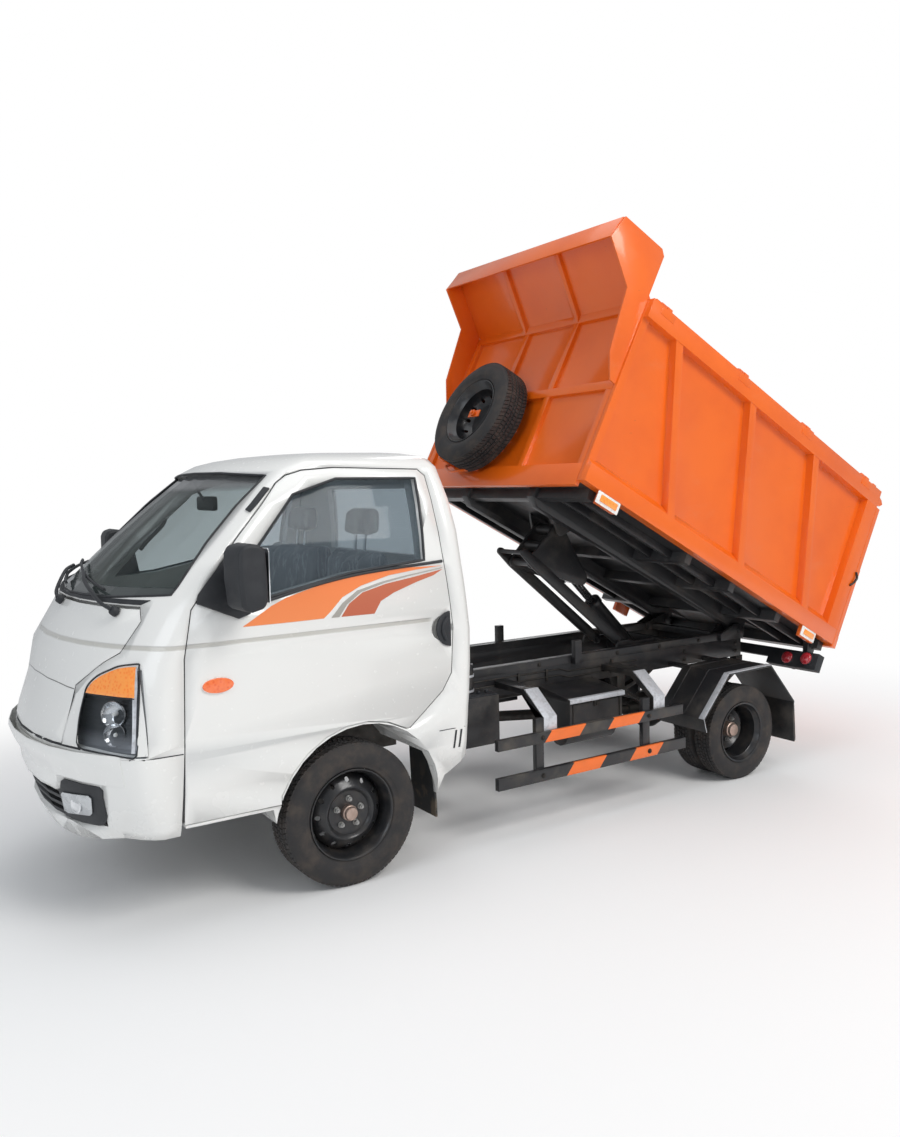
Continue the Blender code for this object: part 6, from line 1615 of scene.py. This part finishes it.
class BodyOperator(bpy.types.Operator):
    """Dresses the tipping body, its tailgate, lids, underside and small fittings."""

    bl_idname = "truck.body"
    bl_label = "Tipping body"

    def execute(self, context):
        """Dresses the tipping body."""
        edge = sizes().edge
        for node in ("bed_side_left", "bed_side_right", "bed_headboard", "tailgate", "lid_left", "lid_right"):
            dressed(node, "body_paint", edge)
        dressed("bed_floor", "chassis_paint", edge)
        self.studs()
        self.carrier()
        self.latches()
        self.floor_lines()
        fresh()
        return {"FINISHED"}

    def studs(self):
        """A bowed row of studs on the headboard beside the spare wheel."""
        one = bar("stud", (0, 0, 0), (0.010, 0, 0), 0.012, 20, 0.004)
        places = [(2.305, 0.023, 0.400), (2.305, 0.020, 0.335), (2.305, 0.003, 0.272), (2.305, -0.037, 0.217)]
        put(repeated(one, places, "headboard_studs"), "bed", "stud_steel", TO_BED)

    def carrier(self):
        """The arms and hoop under the spare wheel, and the clamp through its middle."""
        u, y, v = SPARE_PLACE
        parts = [block("arm", (2.306, y - 0.004, 0.070), (2.500, y + 0.022, 0.098), 0.003),
                 block("arm", (2.306, y - 0.300, 0.110), (2.440, y - 0.276, 0.136), 0.003),
                 tube("hoop", [
                     (2.330, y + 0.005, 0.080), (2.400, y - 0.020, 0.040), (2.420, y - 0.120, 0.022),
                     (2.400, y - 0.230, 0.070), (2.330, y - 0.288, 0.122)], 0.009, 10, soft=5),
                 bar("clamp_rod", (u + 0.020, y, v), (u + 0.072, y, v), 0.011, 16, 0.001),
                 bar("clamp_nut", (u + 0.046, y, v), (u + 0.062, y, v), 0.022, 6, 0.003),
                 block("clamp_plate", (u + 0.040, y - 0.055, v - 0.022),
                       (u + 0.047, y + 0.055, v + 0.022), 0.002)]
        put(joined("spare_carrier", parts), "bed", "body_paint", TO_BED)

    def latches(self):
        """Latches and hooks of the tailgate and pads under the lids' hinges."""
        parts = []
        for y in (0.30, 0.72):
            parts.append(block("latch", (-0.062, y - 0.022, 0.02), (-0.048, y + 0.022, 0.15), 0.004))
            parts.append(bar("latch_bolt", (-0.070, y, 0.11), (-0.048, y, 0.11), 0.009, 16, 0.002))
        put_pair(joined("gate_latches_left", parts), "rear_gate", "body_paint", TO_BED)
        bent = [(0.02, 0.853, 0.40), (-0.005, 0.858, 0.43), (-0.02, 0.858, 0.47), (0.0, 0.853, 0.50)]
        hook = tube("gate_hook_left", bent, 0.007, 8, soft=4)
        put_pair(hook, "bed", "cast_iron", TO_BED)
        pads = []
        for u in (2.190, 1.489, 0.846, 0.164):
            pads.append(block("pad", (u - 0.045, 0.836, 1.030), (u + 0.065, 0.853, 1.078), 0.003))
        put_pair(joined("hinge_pads_left", pads), "bed", "body_paint", TO_BED)

    def floor_lines(self):
        """Long stringers under the bed's floor, outside its beams."""
        parts = []
        for y in (0.50, 0.66):
            parts.append(block("stringer", (0.03, y - 0.012, -0.048), (2.20, y + 0.012, -0.001), 0.002))
        put_pair(joined("floor_stringers_left", parts), "bed", "chassis_paint", TO_BED)


class ChassisOperator(bpy.types.Operator):
    """Dresses the chassis, the hoist, the guards and everything that hangs on the rails."""

    bl_idname = "truck.chassis"
    bl_label = "Chassis"

    def execute(self, context):
        """Dresses the frame, the mudguards and what hangs on the frame."""
        edge = sizes().edge
        for node in ("chassis_frame", "tipping_subframe", "tool_box", "hydraulic_unit", "fuel_tank"):
            dressed(node, "chassis_paint", edge)
        for node in ("lift_arm", "tension_link", "cylinder_barrel"):
            dressed(node, "chassis_paint", 0.0015)
        for node in ("front_axle", "rear_axle", "engine_block", "knuckle_left", "knuckle_right"):
            dressed(node, "cast_iron", 0.0015)
        dressed("exhaust", "cast_iron", 0.0)
        dressed("cylinder_rod", "polished_steel", 0.0)
        for node in ("side_guard_left", "side_guard_right"):
            dressed(node, "guard_paint", edge)
        for node in ("mudguard_left", "mudguard_right"):
            dressed(node, "chassis_paint", edge)
        for node in ("front_flap_left", "front_flap_right"):
            dressed(node, "flap_rubber", 0.002)
        self.mudguard_trim()
        self.bracket_tops()
        self.rear_flap()
        self.tool_box_trim()
        self.hydraulics()
        self.lines()
        self.bolts()
        fresh()
        return {"FINISHED"}

    def mudguard_trim(self):
        """A bright strip along each mudguard's outer edge, and ribs across it."""
        outer = [(-2.271, 0.352), (-2.250, 0.431), (-2.464, 0.671), (-2.838, 0.678)]
        strips = []
        for (x0, z0), (x1, z1) in zip(outer, outer[1:]):
            way = Vector((x1 - x0, 0, z1 - z0)).normalized()
            out = Vector((-way.z, 0, way.x)) if way.x < 0 else Vector((way.z, 0, -way.x))
            if out.z < 0 or (abs(out.z) < 0.2 and out.x < 0):
                out = -out
            a, b = Vector((x0, 0, z0)), Vector((x1, 0, z1))
            lift = out * 0.0035
            outline = [(p.x, p.z) for p in (a + out * 0.0004, b + out * 0.0004, b + lift, a + lift)]
            strips.append(slab("strip", outline, "Y", 0.822, 0.862, 0.0006))
        put_pair(joined("mudguard_strip_left", strips), "chassis", "trim_strip")
        ribs = []
        line = [(-2.254, 0.426), (-2.464, 0.664), (-2.836, 0.670), (-3.050, 0.428)]
        for y in (0.56, 0.70):
            points = [(x, y, z + 0.006) for x, z in line]
            ribs.append(tube("rib", points, 0.0045, 8))
        put_pair(joined("mudguard_ribs_left", ribs), "chassis", "chassis_paint")

    def bracket_tops(self):
        """Bright tops on the bent brackets that hold the side guards."""
        tops = []
        half = 0.043
        top = [(0.625, 0.7225), (0.637, 0.7235), (0.7935, 0.6010), (0.7935, 0.505), (0.7915, 0.505),
               (0.7915, 0.600)]
        for x in BRACKETS:
            tops.append(slab("top", top, "X", x - half, x + half, 0.0006))
        put_pair(joined("bracket_tops_left", tops), "chassis", "trim_strip")

    def rear_flap(self):
        """Rubber flaps behind the rear wheels."""
        flap = [(-3.052, 0.40), (-3.064, 0.40), (-3.078, 0.175), (-3.066, 0.175)]
        piece = slab("rear_flap_left", flap, "Y", 0.505, 0.855, 0.002)
        put_pair(piece, "chassis", "flap_rubber")

    def tool_box_trim(self):
        """The tool box's bright lip, door bead, hasp and lock."""
        lip = [(0.612, 0.6225), (0.634, 0.6205), (0.636, 0.596), (0.632, 0.596), (0.631, 0.616)]
        put(slab("tool_box_lip", lip, "X", -1.850, -1.446, 0.0008), "chassis", "trim_strip")
        face, rear, front, low, high = 0.6215, -1.82, -1.476, 0.445, 0.585
        bead = [(rear, face, low), (rear, face, high), (front, face, high), (front, face, low)]
        parts = [block("hasp", (-1.668, 0.6195, 0.560), (-1.628, 0.627, 0.606), 0.002),
                 tube("door_bead", bead, 0.0035, 8, closed=True),
                 bar("lock", (-1.648, 0.625, 0.572), (-1.648, 0.634, 0.572), 0.010, 20, 0.002)]
        put(joined("tool_box_hasp", parts), "chassis", "cast_iron")

    def hydraulics(self):
        """Cap, breather, battery posts and lid of the hydraulic unit, and its bands."""
        parts = [bar("cap", (-0.88, 0.425, 0.858), (-0.88, 0.425, 0.880), 0.046, 28, 0.005, 0.040),
                 bar("breather", (-0.88, 0.425, 0.878), (-0.88, 0.425, 0.900), 0.014, 16, 0.003)]
        for x in (-0.98, -0.93, -0.82, -0.78):
            parts.append(bar("post", (x, 0.50, 0.698), (x, 0.50, 0.722), 0.011, 16, 0.003))
        parts.append(block("cell_lid", (-1.015, 0.47, 0.699), (-0.745, 0.555, 0.706), 0.002))
        put(joined("unit_fittings", parts), "chassis", "moulded_plastic")
        rings = []
        for z in (0.72, 0.80):
            band = [(0.0585, z - 0.006), (0.0605, z - 0.006), (0.0605, z + 0.006), (0.0585, z + 0.006)]
            rings.append(spun("band", band, (-0.88, 0.425, 0.0), 40, closed=True, axis=(0, 0, 1)))
        put(joined("reservoir_bands", rings), "chassis", "trim_strip")

    def lines(self):
        """Pressed brake pipes and looms, clipped along the rails."""
        parts = []
        y = RAIL_FACE + 0.003
        for z in (0.735, 0.700):
            pipe = [(-0.66, y, z), (-1.6, y, z), (-1.66, y, z - 0.02), (-2.20, y, z - 0.02)]
            parts.append(tube("pipe", pipe, 0.0045, 8))
        for x in (-0.70, -1.30, -1.50, -2.0):
            parts.append(block("clip", (x - 0.008, 0.360, 0.676), (x + 0.008, 0.370, 0.746), 0.002))
        put_pair(joined("rail_pipes_left", parts), "chassis", "cast_iron")
        looms = []
        for radius, *route in (
                (0.009, (-0.655, 0.50, 0.90), (-0.70, 0.50, 0.86), (-0.72, 0.485, 0.76),
                 (-0.745, 0.48, 0.72), (-0.78, 0.50, 0.715)),
                (0.007, (-0.655, 0.56, 0.80), (-0.69, 0.57, 0.74), (-0.70, 0.56, 0.66), (-0.735, 0.54, 0.60)),
                (0.006, (-0.655, 0.45, 0.72), (-0.68, 0.46, 0.68), (-0.70, 0.47, 0.60),
                 (-0.735, 0.47, 0.55))):
            looms.append(tube("loom", route, radius, 10, soft=6))
        put(joined("cab_looms", looms), "chassis", "moulded_plastic")

    def bolts(self):
        """Bolt heads on the rails, the brackets and the guards."""
        one = joined("bolt", [bar("head", (0, 0, 0), (0, 0.008, 0), 0.0105, 6, 0.002),
                              bar("washer", (0, -0.002, 0), (0, 0.002, 0), 0.014, 20, 0.0008)])
        places = []
        for x in BRACKETS:
            places += [(x - 0.025, BRACKET_FACE, 0.705), (x + 0.025, BRACKET_FACE, 0.705)]
        for x in (-1.11, -1.865):
            places += [(x, GUARD_FACE, height) for height in GUARD_RAILS]
        for x in (-0.90, -1.45, -2.05, -2.40, -2.75, -2.98):
            places.append((x, RAIL_FACE, 0.778))
        for x in (-3.10, -2.62, -2.00):
            places += [(x, RAIL_FACE, 0.72), (x, RAIL_FACE, 0.67)]
        put_pair(repeated(one, places, "frame_bolts_left"), "chassis", "cast_iron")


OPERATORS = (StudioOperator, CabOperator, SeatsOperator, LampsOperator, MirrorsOperator, WheelsOperator,
             BodyOperator, ChassisOperator)


class TruckPanel(bpy.types.Panel):
    """Lists the sizes, the colours and the operators that dress the truck."""

    bl_idname = "VIEW3D_PT_truck"
    bl_label = "Garbage truck"
    bl_space_type = "VIEW_3D"
    bl_region_type = "UI"
    bl_category = "Truck"

    def draw(self, context):
        """Shows each value and a button for each operator."""
        for group in (context.scene.truck_sizes, context.scene.truck_colours):
            for name in group.bl_rna.properties.keys():
                if name not in ("rna_type", "name"):
                    self.layout.prop(group, name)
        for operator in OPERATORS:
            self.layout.operator(operator.bl_idname)


def register():
    """Registers the classes and hangs the user's values on the scene."""
    for kind in (TruckSizes, TruckColours, *OPERATORS, TruckPanel):
        bpy.utils.register_class(kind)
    bpy.types.Scene.truck_sizes = bpy.props.PointerProperty(type=TruckSizes)
    bpy.types.Scene.truck_colours = bpy.props.PointerProperty(type=TruckColours)


def unregister():
    """Takes back what register did."""
    del bpy.types.Scene.truck_colours
    del bpy.types.Scene.truck_sizes
    for kind in (TruckPanel, *reversed(OPERATORS), TruckColours, TruckSizes):
        bpy.utils.unregister_class(kind)


def main():
    """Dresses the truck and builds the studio."""
    register()
    make_materials()
    for node in NODES:
        painted(node, "chassis_paint")
    for operator in OPERATORS:
        category, name = operator.bl_idname.split(".")
        getattr(getattr(bpy.ops, category), name)()
    bpy.data.objects.remove(bpy.data.objects["cab_form"])


if __name__ == "__main__":
    main()
